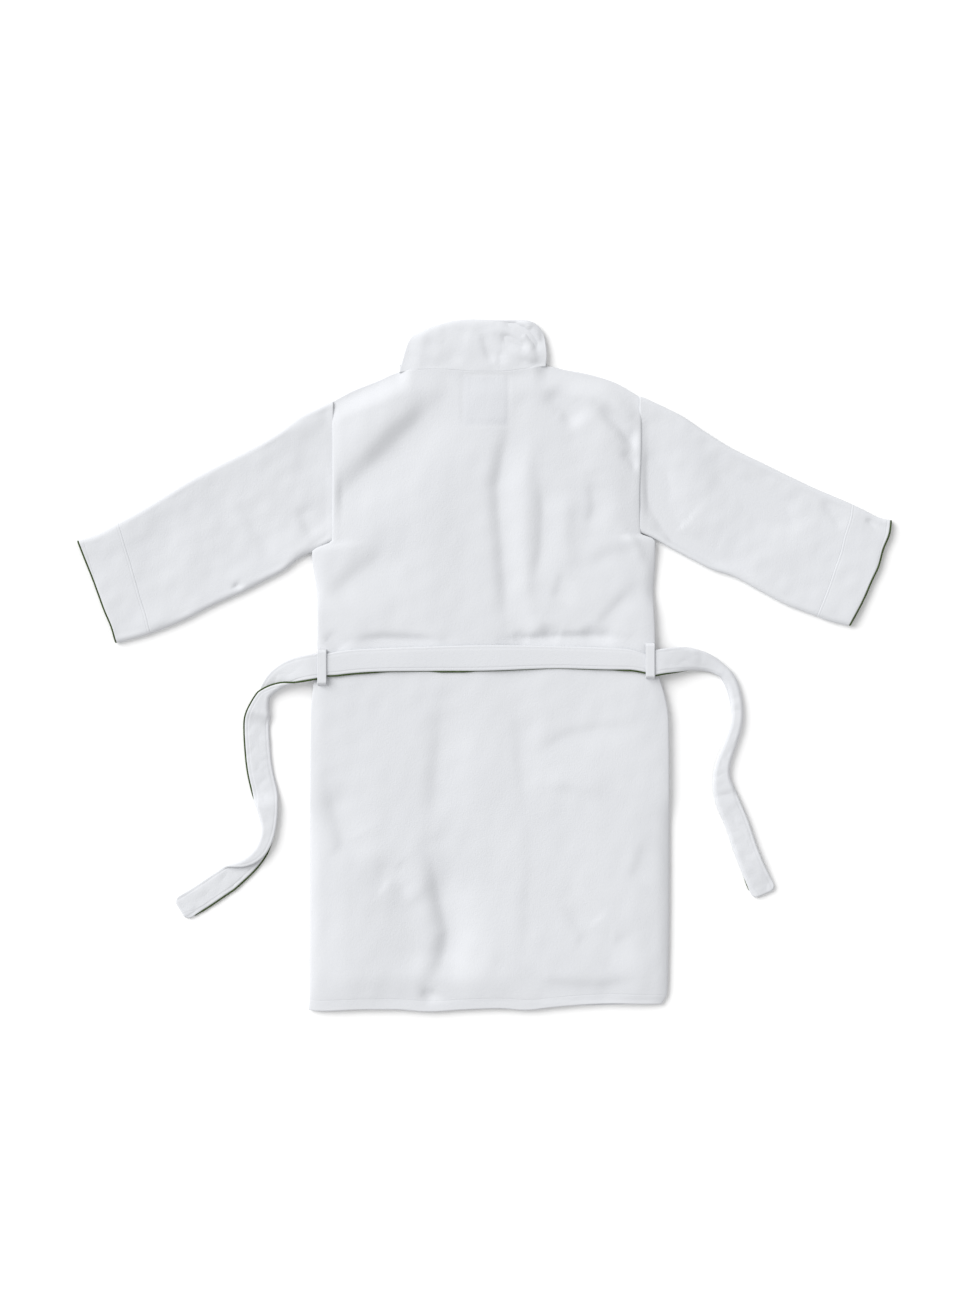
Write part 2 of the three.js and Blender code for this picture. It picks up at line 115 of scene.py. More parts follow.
def patch(left, right, foot, head, u, v, foot_fade=0.2, head_fade=0.3):
    """A patch between four lines: straight rows from left to right, plus how far the foot and the head stray
    from straight rows, faded out over a share of the height. left and right have a point for each v, and
    foot and head one for each u."""
    across = u[:, None, None]
    rows = left[None] * (1 - across) + right[None] * across
    foot_stray = foot - (foot[0] * (1 - u[:, None]) + foot[-1] * u[:, None])
    head_stray = head - (head[0] * (1 - u[:, None]) + head[-1] * u[:, None])
    low = smooth(1 - v / foot_fade)[None, :, None]
    high = smooth((v - 1 + head_fade) / head_fade)[None, :, None]
    return rows + foot_stray[:, None] * low + head_stray[:, None] * high


LIGHT_SIDE = np.array([-0.82, 0.57])


def nearest(x, y, route):
    """From each point to the nearest of a route's straight stretches: the distance, how far along the route that
    place lies, from 0 to 1, and how much the point is on the side that the low light comes from, from -1 to 1."""
    near, share, lit = np.full(np.shape(x), np.inf), np.zeros(np.shape(x)), np.zeros(np.shape(x))
    reach = np.concatenate([[0], np.cumsum(np.linalg.norm(np.diff(route, axis=0), axis=1))])
    for k, ((ax, ay), (bx, by)) in enumerate(zip(route, route[1:])):
        dx, dy = bx - ax, by - ay
        part = np.clip(((x - ax) * dx + (y - ay) * dy) / (dx * dx + dy * dy), 0, 1)
        across, along = x - ax - part * dx, y - ay - part * dy
        gap = np.hypot(across, along)
        closer = gap < near
        near = np.where(closer, gap, near)
        share = np.where(closer, (reach[k] + part * (reach[k + 1] - reach[k])) / reach[-1], share)
        lit = np.where(closer, (across * LIGHT_SIDE[0] + along * LIGHT_SIDE[1]) / (gap + 1e-9), lit)
    return near, share, lit


def fold(x, y, route, width, height):
    """A soft fold along a route: height times exp(-(distance / width)^2), fading towards its ends. The flank that
    faces the low light is 2.2 times as wide as the other, as a ply that has slid one way lies."""
    gap, share, lit = nearest(x, y, route)
    taper = 0.2 + 0.8 * smooth(np.minimum(share, 1 - share) / 0.3)
    facing = lit if height > 0 else -lit
    wide = (1 + 1.2 * smooth(0.5 + facing)) * width * MM
    return height * MM * taper * np.exp(-((gap / wide) ** 2))


def ripple(x, y, size, height, seed):
    """Cloth that lies uneven: the mean of twelve plane waves of about one size, each in its own direction."""
    rng = np.random.default_rng(seed)
    total = np.zeros(np.shape(x))
    for _ in range(12):
        turn, phase, stretch = rng.uniform(0, 2 * math.pi, 2).tolist() + [rng.uniform(0.7, 1.5)]
        wave = (x * math.cos(turn) + y * math.sin(turn)) * 2 * math.pi / (size * MM * stretch)
        total += np.sin(wave + phase)
    return height * MM * total / math.sqrt(12)


def length_along(grid, axis):
    """Running length of a grid's lines along one axis."""
    step = np.linalg.norm(np.diff(grid, axis=axis), axis=2)
    pad = [(0, 0), (0, 0)]
    pad[axis] = (1, 0)
    return np.pad(np.cumsum(step, axis=axis), pad)


RIM = np.array([0, 0.3, 0.9, 1.75, 3, 5]) * MM


def stations(length, step):
    """Places along a length as shares: close together in the last few millimetres, and even between."""
    inner = np.linspace(RIM[-1], length - RIM[-1], max(3, round(length / step)))[1:-1]
    return np.concatenate([RIM, inner, length - RIM[::-1]]) / length


# ---- Meshes -----------------------------------------------------------------------------------------

def make_mesh(name, vertices, faces, uv=None):
    """A smooth mesh object from arrays, turned so that its faces point outwards."""
    corner = [np.array([f[k] for f in faces]) for k in range(3)]
    triple = np.einsum("ij,ij->i", vertices[corner[0]], np.cross(vertices[corner[1]], vertices[corner[2]]))
    last = np.array([f[-1] for f in faces])
    triple += np.einsum("ij,ij->i", vertices[corner[0]], np.cross(vertices[corner[2]], vertices[last]))
    if triple.sum() < 0:
        faces = [f[::-1] for f in faces]
        uv = None if uv is None else [loop[::-1] for loop in uv]
    mesh = bpy.data.meshes.new(name)
    mesh.from_pydata(vertices.tolist(), [], faces)
    if uv is not None:
        layer = mesh.uv_layers.new(name="cloth")
        layer.data.foreach_set("uv", np.array([c for loop in uv for c in loop], np.float32).ravel())
    mesh.shade_smooth()
    made = bpy.data.objects.new(name, mesh)
    bpy.context.scene.collection.objects.link(made)
    return made


def shell(name, middle, thickness, around=False):
    """Cloth of some thickness round a grid of points in its middle. Each point moves half the thickness along
    the surface's normal and half against it, and the thickness dies away at the rim as a half circle does.
    Around joins the grid's first line to its last, so that the cloth is a tube."""
    wrapped = np.concatenate([middle[-1:], middle, middle[:1]]) if around else middle
    run = np.gradient(wrapped, axis=0)[1:-1] if around else np.gradient(middle, axis=0)
    normal = np.cross(run, np.gradient(middle, axis=1))
    normal /= np.linalg.norm(normal, axis=2, keepdims=True) + 1e-12

    rows = length_along(middle, 1)
    rim = np.minimum(rows, rows[:, -1:] - rows)
    if not around:
        columns = length_along(middle, 0)
        rim = np.minimum(rim, np.minimum(columns, columns[-1:] - columns))
    thickness = np.broadcast_to(thickness, rim.shape)
    half = thickness / 2 * np.sqrt(1 - (1 - np.clip(2 * rim / thickness, 0, 1)) ** 2)

    n, m = rim.shape
    top = np.arange(n * m).reshape(n, m)
    inside = np.zeros((n, m), bool)
    inside[(slice(None) if around else slice(1, -1)), 1:-1] = True
    bottom = top.copy()
    bottom[inside] = n * m + np.arange(inside.sum())
    offset = normal * half[..., None]
    vertices = np.concatenate([(middle + offset).reshape(-1, 3), (middle - offset)[inside]])

    if around:
        closed_grid = np.concatenate([middle, middle[:1]])
        top, bottom = (np.concatenate([side, side[:1]]) for side in (top, bottom))
    else:
        closed_grid = middle
    uv = np.stack([length_along(closed_grid, 0), length_along(closed_grid, 1)], axis=-1)

    def quads(index):
        """The four corners of each cell of a grid, in order round it."""
        return np.stack([index[:-1, :-1], index[1:, :-1], index[1:, 1:], index[:-1, 1:]], axis=2)

    corner_uv = np.stack([uv[:-1, :-1], uv[1:, :-1], uv[1:, 1:], uv[:-1, 1:]], axis=2)
    faces = np.concatenate([quads(top).reshape(-1, 4), quads(bottom).reshape(-1, 4)[:, ::-1]])
    loops = np.concatenate([corner_uv.reshape(-1, 4, 2), corner_uv.reshape(-1, 4, 2)[:, ::-1]])
    return make_mesh(name, vertices, faces.tolist(), loops.tolist())


def cord_mesh(name, path, radius, closed=False, sides=10, aside=(0, 0, 1)):
    """A round cord carried along a path. Its radius dies away at both ends as a half circle does, unless the
    path closes on itself. aside is a direction, or one for each point, that the path never runs along."""
    run = np.roll(path, -1, 0) - np.roll(path, 1, 0) if closed else np.gradient(path, axis=0)
    run /= np.linalg.norm(run, axis=1, keepdims=True)
    side = np.cross(run, aside)
    side /= np.linalg.norm(side, axis=1, keepdims=True)
    up = np.cross(side, run)
    turn = np.linspace(0, 2 * math.pi, sides, endpoint=False)
    circle = np.cos(turn)[None, :, None] * side[:, None] + np.sin(turn)[None, :, None] * up[:, None]
    along = np.concatenate([[0], np.cumsum(np.linalg.norm(np.diff(path, axis=0), axis=1))])
    end = np.full(len(path), np.inf) if closed else np.minimum(along, along[-1] - along)
    size = radius * np.sqrt(1 - (1 - np.clip(end / radius, 0, 1)) ** 2)
    rings = path[:, None] + circle * size[:, None, None]
    index = np.arange(len(path) * sides).reshape(len(path), sides)
    index = np.concatenate([index, index[:, :1]], axis=1)
    place = np.concatenate([along, [along[-1] + np.linalg.norm(path[0] - path[-1])]]) if closed else along
    if closed:
        index = np.concatenate([index, index[:1]])
        vertices = rings.reshape(-1, 3)
    else:
        index = index[1:-1] - sides
        vertices = np.concatenate([rings[1:-1].reshape(-1, 3), path[:1], path[-1:]])
    faces = np.stack([index[:-1, :-1], index[1:, :-1], index[1:, 1:], index[:-1, 1:]], axis=2)
    faces = faces.reshape(-1, 4).tolist()
    place = place if closed else place[1:-1]
    u = np.broadcast_to(place[:, None], index.shape)
    v = np.broadcast_to(np.linspace(0, 2 * math.pi * radius, sides + 1), index.shape)
    uv = np.stack([u, v], axis=-1)
    loops = np.stack([uv[:-1, :-1], uv[1:, :-1], uv[1:, 1:], uv[:-1, 1:]], axis=2).reshape(-1, 4, 2).tolist()
    if not closed:
        start, stop = len(vertices) - 2, len(vertices) - 1
        for a, b in zip(index[0, :-1].tolist(), index[0, 1:].tolist()):
            faces.append([start, a, b])
            loops.append([[0, 0]] * 3)
        for a, b in zip(index[-1, :-1].tolist(), index[-1, 1:].tolist()):
            faces.append([stop, b, a])
            loops.append([[along[-1], 0]] * 3)
    return make_mesh(name, vertices, faces, loops)


# ---- Materials ----------------------------------------------------------------------------------------

class Field:
    """A socket's value as a term in an expression: each operator adds the Math node that works it out."""

    def __init__(self, weave, socket):
        self.weave, self.socket = weave, socket

    def _math(self, operation, *terms, clamp=False):
        """One Math node on the terms."""
        made = self.weave.node("ShaderNodeMath", {"operation": operation, "use_clamp": clamp}, *terms)
        return self.weave.field(made)

    def __add__(self, other):
        return self._math("ADD", self, other)

    def __sub__(self, other):
        return self._math("SUBTRACT", self, other)

    def __rsub__(self, other):
        return self._math("SUBTRACT", other, self)

    def __mul__(self, other):
        return self._math("MULTIPLY", self, other)

    def __truediv__(self, other):
        return self._math("DIVIDE", self, other)

    def __neg__(self):
        return self._math("MULTIPLY", self, -1)

    __radd__, __rmul__ = __add__, __mul__

    def size(self):
        """The value without its sign."""
        return self._math("ABSOLUTE", self)

    def fraction(self):
        """What is left above the last whole number."""
        return self._math("FRACT", self)

    def sine(self):
        """The sine of the value, in radians."""
        return self._math("SINE", self)

    def most(self, other):
        """The larger of the two values."""
        return self._math("MAXIMUM", self, other)

    def clamped(self):
        """The value held between 0 and 1."""
        return self._math("ADD", self, 0, clamp=True)


class Weave:
    """A material's nodes, made one call each."""

    def __init__(self, name, colour, roughness):
        self.material = bpy.data.materials.new(name)
        self.material.use_nodes = True
        self.nodes, self.links = self.material.node_tree.nodes, self.material.node_tree.links
        self.shader = self.nodes["Principled BSDF"]
        self.shader.inputs["Base Color"].default_value = (*colour, 1)
        self.shader.inputs["Roughness"].default_value = roughness
        self.shader.inputs["Specular IOR Level"].default_value = 0.15
        self.coordinates = self.node("ShaderNodeTexCoord", {})

    def node(self, kind, settings, *terms, **named):
        """One node: its settings first, then the values or links of its sockets in order or by name."""
        made = self.nodes.new(kind)
        for key, value in settings.items():
            setattr(made, key, value)
        sockets = dict(enumerate(terms)) | {key.replace("_", " "): value for key, value in named.items()}
        for key, value in sockets.items():
            if isinstance(value, Field):
                self.links.new(value.socket, made.inputs[key])
            elif isinstance(value, bpy.types.NodeSocket):
                self.links.new(value, made.inputs[key])
            else:
                made.inputs[key].default_value = value
        return made

    def field(self, made, output=0):
        """One output of a node as a term."""
        return Field(self, made.outputs[output])

    def noise(self, scale, detail=2.0, roughness=0.5, stretch=None):
        """Noise on the object's own coordinates, from 0 to 1; scale is in waves per metre."""
        place = self.coordinates.outputs["Object"]
        if stretch:
            place = self.node("ShaderNodeMapping", {}, place, Scale=stretch).outputs[0]
        settings = {"noise_dimensions": "3D"}
        made = self.node("ShaderNodeTexNoise", settings, Vector=place, Scale=scale, Detail=detail,
                         Roughness=roughness)
        return self.field(made)

    def tufts(self, scale):
        """How far each place is from the middle of its tuft of pile."""
        place = self.coordinates.outputs["Object"]
        made = self.node("ShaderNodeTexVoronoi", {"feature": "F1"}, Vector=place, Scale=scale)
        return self.field(made)

    def uv(self):
        """The cloth's own two coordinates, in metres."""
        parts = self.node("ShaderNodeSeparateXYZ", {}, self.coordinates.outputs["UV"])
        return self.field(parts, 0), self.field(parts, 1)

    def tone(self, factor, dark, light):
        """A colour between two, by a factor."""
        made = self.node("ShaderNodeMix", {"data_type": "RGBA"}, Factor=factor)
        colours = [socket for socket in made.inputs if socket.type == "RGBA"]
        colours[0].default_value = (*dark, 1)
        colours[1].default_value = (*light, 1)
        return [socket for socket in made.outputs if socket.type == "RGBA"][0]

    def finish(self, colour=None, roughness=None, height=None, strength=1.0):
        """Links colour, roughness and bump; height is in metres."""
        if colour is not None:
            self.links.new(colour, self.shader.inputs["Base Color"])
        if roughness is not None:
            self.links.new(roughness.socket, self.shader.inputs["Roughness"])
        if height is not None:
            bump = self.node("ShaderNodeBump", {}, Strength=strength, Distance=1.0, Height=height)
            self.links.new(bump.outputs["Normal"], self.shader.inputs["Normal"])
        return self.material


def stitches(across, along, at, pitch=3.2 * MM, width=0.9 * MM):
    """A row of stitches where across is at: a groove, and in it short dashes of thread. Gives the groove and
    the dashes, each from 0 to 1."""
    groove = (1 - (across - at).size() / (width * 1.8)).most(0)
    dash = ((along / pitch * (2 * math.pi)).sine() * 1.6 + 0.6).clamped()
    return groove, dash * (1 - (across - at).size() / (width * 0.7)).most(0)


def velour(name, look, rows=(), backed=None):
    """White velour: tufts of short pile on terry ground, brushed in patches, with rows of stitches. Each row is
    the coordinate that it crosses, 0 or 1 of the cloth's own two, and where it lies. backed is a middle and a half
    size, in x and y, where tape sewn on behind shows through as a cooler patch."""
    weave = Weave(name, look.colour, 0.92)
    weave.shader.inputs["Sheen Weight"].default_value = look.sheen
    weave.shader.inputs["Sheen Roughness"].default_value = 0.45
    pile = weave.noise(look.pile, 2.0, 0.6)
    clumps = weave.noise(look.pile / 3.6, 2.0, 0.5)
    tuft = weave.tufts(look.pile * 0.7)
    brushed = weave.noise(6.0, 2.0, 0.5)
    height = pile * (0.34 * MM) + clumps * (0.30 * MM) - tuft * (0.22 * MM)
    # Tone of the velour: random patches of brushed nap and of pile, plus painted shade that darkens the gaps between
    # tufts, where the bump dips as well.
    shade = (brushed - 0.5) * 0.5 + (pile - 0.5) * 0.7 - tuft * 0.15 + 0.6
    for axis, at in rows:
        cloth = weave.uv()
        groove, thread = stitches(cloth[axis], cloth[1 - axis], at)
        height = height - groove * (0.35 * MM) + thread * (0.15 * MM)
        # Painted shade: the colour darkens in each stitched groove, where the bump dips too; the thread's dashes are
        # drawn a little lighter.
        shade = shade - groove * 0.12 + thread * 0.06
    light = look.colour
    dark = [light[0] * 0.925, light[1] * 0.93, light[2] * 0.945]
    if backed:
        parts = weave.node("ShaderNodeSeparateXYZ", {}, weave.coordinates.outputs["Object"])
        x, y = weave.field(parts, 0), weave.field(parts, 1)
        (middle_x, middle_y), (half_x, half_y) = backed
        past = ((x - middle_x).size() - half_x).most((y - middle_y).size() - half_y)
        shade = shade - (0.5 - past / (6 * MM)).clamped() * 0.35
    colour = weave.tone(shade.clamped(), dark, light)
    roughness = (pile * 0.1 + 0.86).clamped()
    return weave.finish(colour, roughness, height, look.relief)


def twill(name, look):
    """Dark green twill: fine diagonal ribs round the cord, a little worn on top."""
    weave = Weave(name, look.piping, 0.75)
    u, v = weave.uv()
    ribs = ((u + v) * (2 * math.pi / (0.9 * MM))).sine() * 0.5 + 0.5
    patches = weave.noise(60.0, 2.0, 0.5)
    light = [min(1, channel * 2.6 + 0.012) for channel in look.piping]
    colour = weave.tone((ribs * 0.5 + patches * 0.9 - 0.4).clamped(), look.piping, light)
    roughness = (ribs * 0.1 + 0.68).clamped()
    return weave.finish(colour, roughness, ribs * (0.12 * MM), 0.7)


def woven_tape(name, look):
    """White woven tape: a fine square weave."""
    weave = Weave(name, look.tape, 0.7)
    u, v = weave.uv()
    warp = (u * (2 * math.pi / (0.7 * MM))).sine()
    weft = (v * (2 * math.pi / (0.7 * MM))).sine()
    weave_height = warp * weft * 0.5 + 0.5
    worn = weave.noise(90.0, 2.0, 0.5)
    dark = [channel * 0.9 for channel in look.tape]
    colour = weave.tone((weave_height * 0.6 + worn * 0.5).clamped(), dark, look.tape)
    return weave.finish(colour, (worn * 0.15 + 0.62).clamped(), weave_height * (0.08 * MM), 0.8)


def dress(piece, material, slot, *nodes):
    """Gives a piece its material and hides the CAD nodes that it stands for; its slot is not used."""
    piece.data.materials.append(material)
    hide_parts(*nodes)
    return piece


# ---- Settings ---------------------------------------------------------------------------------------------

class RobeCloth(PropertyGroup):
    """Thicknesses and how deep the folds are."""

    ply: FloatProperty(name="Ply", description="Thickness of one ply of velour", default=3.5 * MM,
                       min=1 * MM, unit="LENGTH")
    folds: FloatProperty(name="Folds", description="How deep the folds lie, as a share", default=1.35,
                         min=0, max=2)
    belt: FloatProperty(name="Belt", description="Thickness of the belt, two plies", default=6 * MM,
                        min=2 * MM, unit="LENGTH")
    piping: FloatProperty(name="Piping", description="Radius of the piping", default=1.6 * MM,
                          min=0.5 * MM, unit="LENGTH")


class RobeLook(PropertyGroup):
    """Colours and pile."""

    colour: FloatVectorProperty(name="Velour", description="Colour of the velour", subtype="COLOR",
                                default=(0.665, 0.675, 0.695), min=0, max=1)
    piping: FloatVectorProperty(name="Piping", description="Colour of the piping", subtype="COLOR",
                                default=(0.030, 0.048, 0.012), min=0, max=1)
    tape: FloatVectorProperty(name="Tape", description="Colour of the woven tape", subtype="COLOR",
                              default=(0.80, 0.81, 0.82), min=0, max=1)
    pile: FloatProperty(name="Pile", description="Tufts of pile in a metre", default=640, min=50)
    relief: FloatProperty(name="Relief", description="How strongly the pile shows", default=0.8, min=0)
    sheen: FloatProperty(name="Sheen", description="Soft light that the pile catches", default=0.15,
                         min=0, max=1)


class RobeStage(PropertyGroup):
    """Floor, light and camera."""

    floor: FloatVectorProperty(name="Floor", description="Colour of the floor", subtype="COLOR",
                               default=(0.95, 0.95, 0.95), min=0, max=1)
    key: FloatProperty(name="Key light", description="Strength of the low, wide light", default=2.8, min=0)
    rise: FloatProperty(name="Key height", description="How high the low light stands", default=math.radians(35),
                        min=0.1, subtype="ANGLE")
    spread: FloatProperty(name="Key width", description="How wide the low light looks", default=math.radians(48),
                          min=0, subtype="ANGLE")
    sky: FloatProperty(name="Sky", description="Strength of the light from all round", default=0.68, min=0)
    height: FloatProperty(name="Camera height", description="Camera above the floor", default=5.757,
                          min=1, unit="LENGTH")
    lens: FloatProperty(name="Lens", description="Focal length in millimetres", default=85, min=10)


# ---- Back ---------------------------------------------------------------------------------------------------

# Side seams from the hem up, past the underarm's corner and the armhole's foot to the shoulder's tip: how far
# in from the back's widest place, and how far above the hem. The two lists match row by row.
LEFT_SEAM = points((0, 1), (2, 34), (2, 94), (3, 300), (4, 544), (9, 606), (15, 645), (17, 668), (17, 718),
                   (15, 793), (9, 831), (7, 859), (44, 880), (45, 970), (45, 1060), (44, 1140))
RIGHT_SEAM = points((15, 12), (5, 32), (3, 94), (1, 300), (2, 540), (10, 592), (22, 635), (26, 668), (28, 718),
                    (31, 793), (28, 831), (27, 878), (54, 893), (56, 970), (53, 1060), (54, 1148))
HEM = points((-329, 1), (-314, -1), (-224, 2), (-170, 2), (-104, -2), (-38, 2), (31, 4), (78, 1), (125, 6),
             (185, 11), (241, 13), (300, 12), (331, 12))
SHOULDERS = points((-285, 493), (-252, 511), (-200, 532), (-160, 549), (-130, 553), (-83, 554), (-46, 552),
                   (-18, 550), (29, 550), (66, 554), (115, 560), (150, 553), (254, 524), (292, 501))


def side_lines(v):
    """The back's left and right edges at shares of the height."""
    knots = LEFT_SEAM[:, 1] - LEFT_SEAM[0, 1]
    knots = knots / knots[-1]
    left = line(LEFT_SEAM * (1, 1), v, knots) + (BACK_LOW.x, HEM_Y)
    right = line(RIGHT_SEAM * (-1, 1), v, knots) + (BACK_HIGH.x, HEM_Y)
    return left, right


def back_plan(u, v):
    """The back in plan, from the hem to the shoulders and the neckline."""
    left, right = side_lines(v)
    hem = line(HEM, u, (HEM[:, 0] - HEM[0, 0]) / (HEM[-1, 0] - HEM[0, 0])) + (0, HEM_Y)
    knots = (SHOULDERS[:, 0] - SHOULDERS[0, 0]) / (SHOULDERS[-1, 0] - SHOULDERS[0, 0])
    head = line(SHOULDERS, u, knots)
    left[-1], right[-1] = head[0], head[-1]
    return patch(left, right, hem, head, u, v, 0.12, 0.24)


BACK_FOLDS = [
    # route, width, height
    (points((-300, 272), (-215, 365), (-135, 440), (-62, 508)), 27, -6.6),
    (points((-262, 372), (-180, 450), (-110, 505)), 26, 3.0),
    (points((-292, 118), (-240, 165), (-168, 216)), 22, -4.0),
    (points((-300, 60), (-262, 20)), 10, -3.0),
    (points((60, 480), (38, 390), (27, 332), (34, 240), (48, 56)), 17, -5.2),
    (points((80, 470), (74, 340), (74, 200), (80, 60)), 18, 2.2),
    (points((104, 360), (112, 290), (108, 214), (96, 150)), 13, -3.2),
    (points((112, 516), (150, 478), (175, 440)), 15, -4.4),
    (points((150, 330), (146, 250), (156, 170)), 20, 2.4),
    (points((201, 347), (208, 298), (196, 250)), 13, -3.0),
    (points((212, 490), (252, 448), (291, 396)), 11, -6.4),
    (points((230, 496), (268, 458), (292, 428)), 10, 2.2),
    (points((256, 402), (276, 382), (293, 362)), 7, -3.2),
    (points((262, 248), (282, 226), (300, 196)), 6, 2.2),
    (points((190, 182), (240, 206), (306, 214)), 13, -1.8),
    (points((207, 64), (240, 100), (275, 139)), 11, -2.0),
    (points((132, 116), (142, 148), (150, 176)), 10, -1.8),
    (points((30, 46), (120, 52), (200, 54), (268, 48)), 8, -3.6),
    (points((52, 50), (68, 56), (86, 50)), 9, -1.8),
    (points((106, 54), (124, 64), (146, 56)), 9, -2.2),
    (points((176, 55), (200, 64), (246, 56)), 9, -2.0),
    (points((90, 64), (100, 74), (108, 88)), 9, 1.4),
    (points((-250, 44), (-190, 50), (-121, 47), (-80, 44)), 9, -3.8),
    (points((-288, -212), (-280, -262), (-262, -330), (-214, -372)), 18, -3.4),
    (points((-212, -374), (-170, -392), (-132, -438)), 17, -3.0),
    (points((-98, -340), (-84, -420), (-66, -500), (-76, -560), (-100, -606)), 20, -7.6),
    (points((-150, -400), (-122, -500), (-130, -590)), 46, -4.6),
    (points((-118, -606), (-104, -622), (-92, -604)), 8, -2.8),
    (points((-74, -70), (-84, -180), (-96, -300)), 20, -2.6),
    (points((66, -70), (70, -160), (80, -260)), 16, -1.7),
    (points((82, -250), (90, -360), (80, -560)), 17, -1.3),
    (points((100, -170), (150, -136), (210, -122), (270, -118)), 13, -1.5),
    (points((110, -214), (170, -222), (226, -236)), 14, 1.6),
    (points((274, -410), (292, -370), (304, -330)), 12, -1.3),
    (points((150, -440), (190, -500), (240, -528), (292, -500)), 16, -2.4),
    (points((30, -560), (110, -598), (210, -606), (300, -590)), 13, -2.2),
]


CUFF_REST = (132 * MM, 172 * MM)
CUFF_ROOM = 1.7 * MM
CUFF_REACH = 130 * MM
# Heights in millimetres: of the side seam, what the pockets and the armhole add to it, the inner level and how far
# that sinks to the hem.
SEAM_LEVEL, POCKET_RISE, ARMHOLE_RISE, INNER_LEVEL, HEM_SINK = 5.4, 7.9, 5.3, 18.6, 7.5
HEM_ROW = 20 * MM
PATCH_MIDDLE = (2 * MM, 497 * MM)
PATCH_HALF = (42 * MM, 47 * MM)
BACK_GRID = 5.2 * MM


def back_middle(u, v):
    """The middle of the back's cloth. Its height goes from the side seams' level up to the inner level as a
    quarter circle does, and folds, seams and the ripple of cloth that lies loose are added."""
    plan = back_plan(u, v)
    x, y = plan[..., 0], plan[..., 1]
    columns = length_along(np.concatenate([plan, np.zeros(x.shape + (1,))], axis=2), 0)
    from_side = np.minimum(columns, columns[-1:] - columns)
    up = y - HEM_Y
    over_pockets = smooth((up - 345 * MM) / (70 * MM)) * (1 - smooth((up - 740 * MM) / (50 * MM)))
    at_armhole = smooth((up - 820 * MM) / (60 * MM))
    seam = (SEAM_LEVEL + POCKET_RISE * over_pockets + ARMHOLE_RISE * at_armhole) * MM
    level = (INNER_LEVEL - HEM_SINK * smooth(1 - up / (70 * MM))) * MM
    head = back_plan(u, np.array([1.0]))[:, 0, 1][:, None]
    below = np.clip(head - y, 0, None)
    on_neck = smooth((x + 165 * MM) / (30 * MM)) * (1 - smooth((x - 90 * MM) / (30 * MM)))
    head_level = (6.2 + 9.4 * on_neck) * MM
    run = (26 + 24 * at_armhole) * MM
    rise = 0.62 * np.sqrt(1 - (1 - np.clip(from_side / run, 0, 1)) ** 2) + 0.38 * smooth(from_side / (75 * MM))
    z = seam + (level - seam) * rise
    near_head = smooth(1 - below / (48 * MM))
    z = z * (1 - near_head) + np.minimum(z, head_level) * near_head
    inner = smooth(from_side / (18 * MM)) * smooth(below / (14 * MM)) * smooth(up / (30 * MM))
    settled = bpy.context.scene.robe_cloth.folds
    for route, width, height in BACK_FOLDS:
        z = z + fold(x, y, route, width, height) * inner * settled
    z = z + ripple(x, y, 150, 0.6, RNG_SEED) * inner * settled
    z = z + ripple(x, y, 45, 0.13, RNG_SEED + 1) * inner * settled
    # The back lies a little lower where the left cuff comes down on it when that sleeve is folded over.
    from_cuff = np.hypot(x - CUFF_REST[0], y - CUFF_REST[1])
    z = z - CUFF_ROOM * smooth(1.25 - from_cuff / CUFF_REACH)
    # The hem's stitched groove, with slanting puckers along its left half.
    stitch = np.exp(-(((up - HEM_ROW) / (2.5 * MM)) ** 2))
    puckers = np.sin((x * 1.0 + y * 1.2) * 2 * math.pi / (15 * MM)) * np.exp(-(((up - 15 * MM) / (11 * MM)) ** 2))
    z = z - 0.5 * MM * stitch + 0.45 * MM * puckers * smooth((60 * MM - x) / (200 * MM)) * smooth(from_side / (8 * MM))
    # The neck patch, sewn on from inside, pulls a faint square.
    square = np.maximum(np.abs(x - PATCH_MIDDLE[0]) - PATCH_HALF[0], np.abs(y - PATCH_MIDDLE[1]) - PATCH_HALF[1])
    z = z - 0.9 * MM * np.exp(-((square / (2.6 * MM)) ** 2)) * smooth(below / (8 * MM))
    return np.concatenate([plan, z[..., None]], axis=2)


class ROBE_OT_back(Operator):
    """Sew the back panel"""

    bl_idname = "robe.back"
    bl_label = "Back"

    def execute(self, context):
        cloth, look = context.scene.robe_cloth, context.scene.robe_look
        u = stations(BACK_HIGH.x - BACK_LOW.x, BACK_GRID)
        v = stations(BACK_HIGH.y - BACK_LOW.y, BACK_GRID)
        piece = shell("robe_back", back_middle(u, v), cloth.ply)
        rows = [(1, HEM_ROW)]
        low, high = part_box("neck_patch")
        backed = (((low.x + high.x) / 2, (low.y + high.y) / 2), ((high.x - low.x) / 2, (high.y - low.y) / 2))
        dress(piece, velour("velour_back", look, rows, backed), "velour", "back_panel")
        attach(piece, "robe")
        return {"FINISHED"}


# ---- Fronts and pockets ---------------------------------------------------------------------------------------

FRONT_SHOULDER = {"left": points((-285, 493), (-252, 511), (-200, 532), (-160, 549)),
                  "right": points((292, 501), (254, 524), (150, 553), (115, 556))}
LAPEL = 97 * MM
V_FOOT = NECK_Y - 403 * MM
FRONT_MEET = 4 * MM
FRONT_GAP = 2 * MM
NECK_END = {"left": -160 * MM, "right": 115 * MM}
FLOOR_PLY = 1.85  # the middle of one ply that lies on the floor, in millimetres
HEM_LIFT = 8 * MM
SEAM_GAP = 0.2 * MM
FRONT_GRID = 9 * MM
POCKET_GRID = 6 * MM


def front_levels(x, y, side):
    """Height of the middle of a front's cloth: on the floor, and up over its pocket."""
    sign = SIDES[side]
    low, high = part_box(f"pocket_{side}")
    up = smooth((y - low.y + 45 * MM) / (50 * MM)) * (1 - smooth((y - high.y - 140 * MM) / (70 * MM)))
    inner = low.x if sign > 0 else high.x
    out = sign * (x - inner)
    return (FLOOR_PLY + POCKET_RISE * up * smooth((out + 62 * MM) / (60 * MM))) * MM


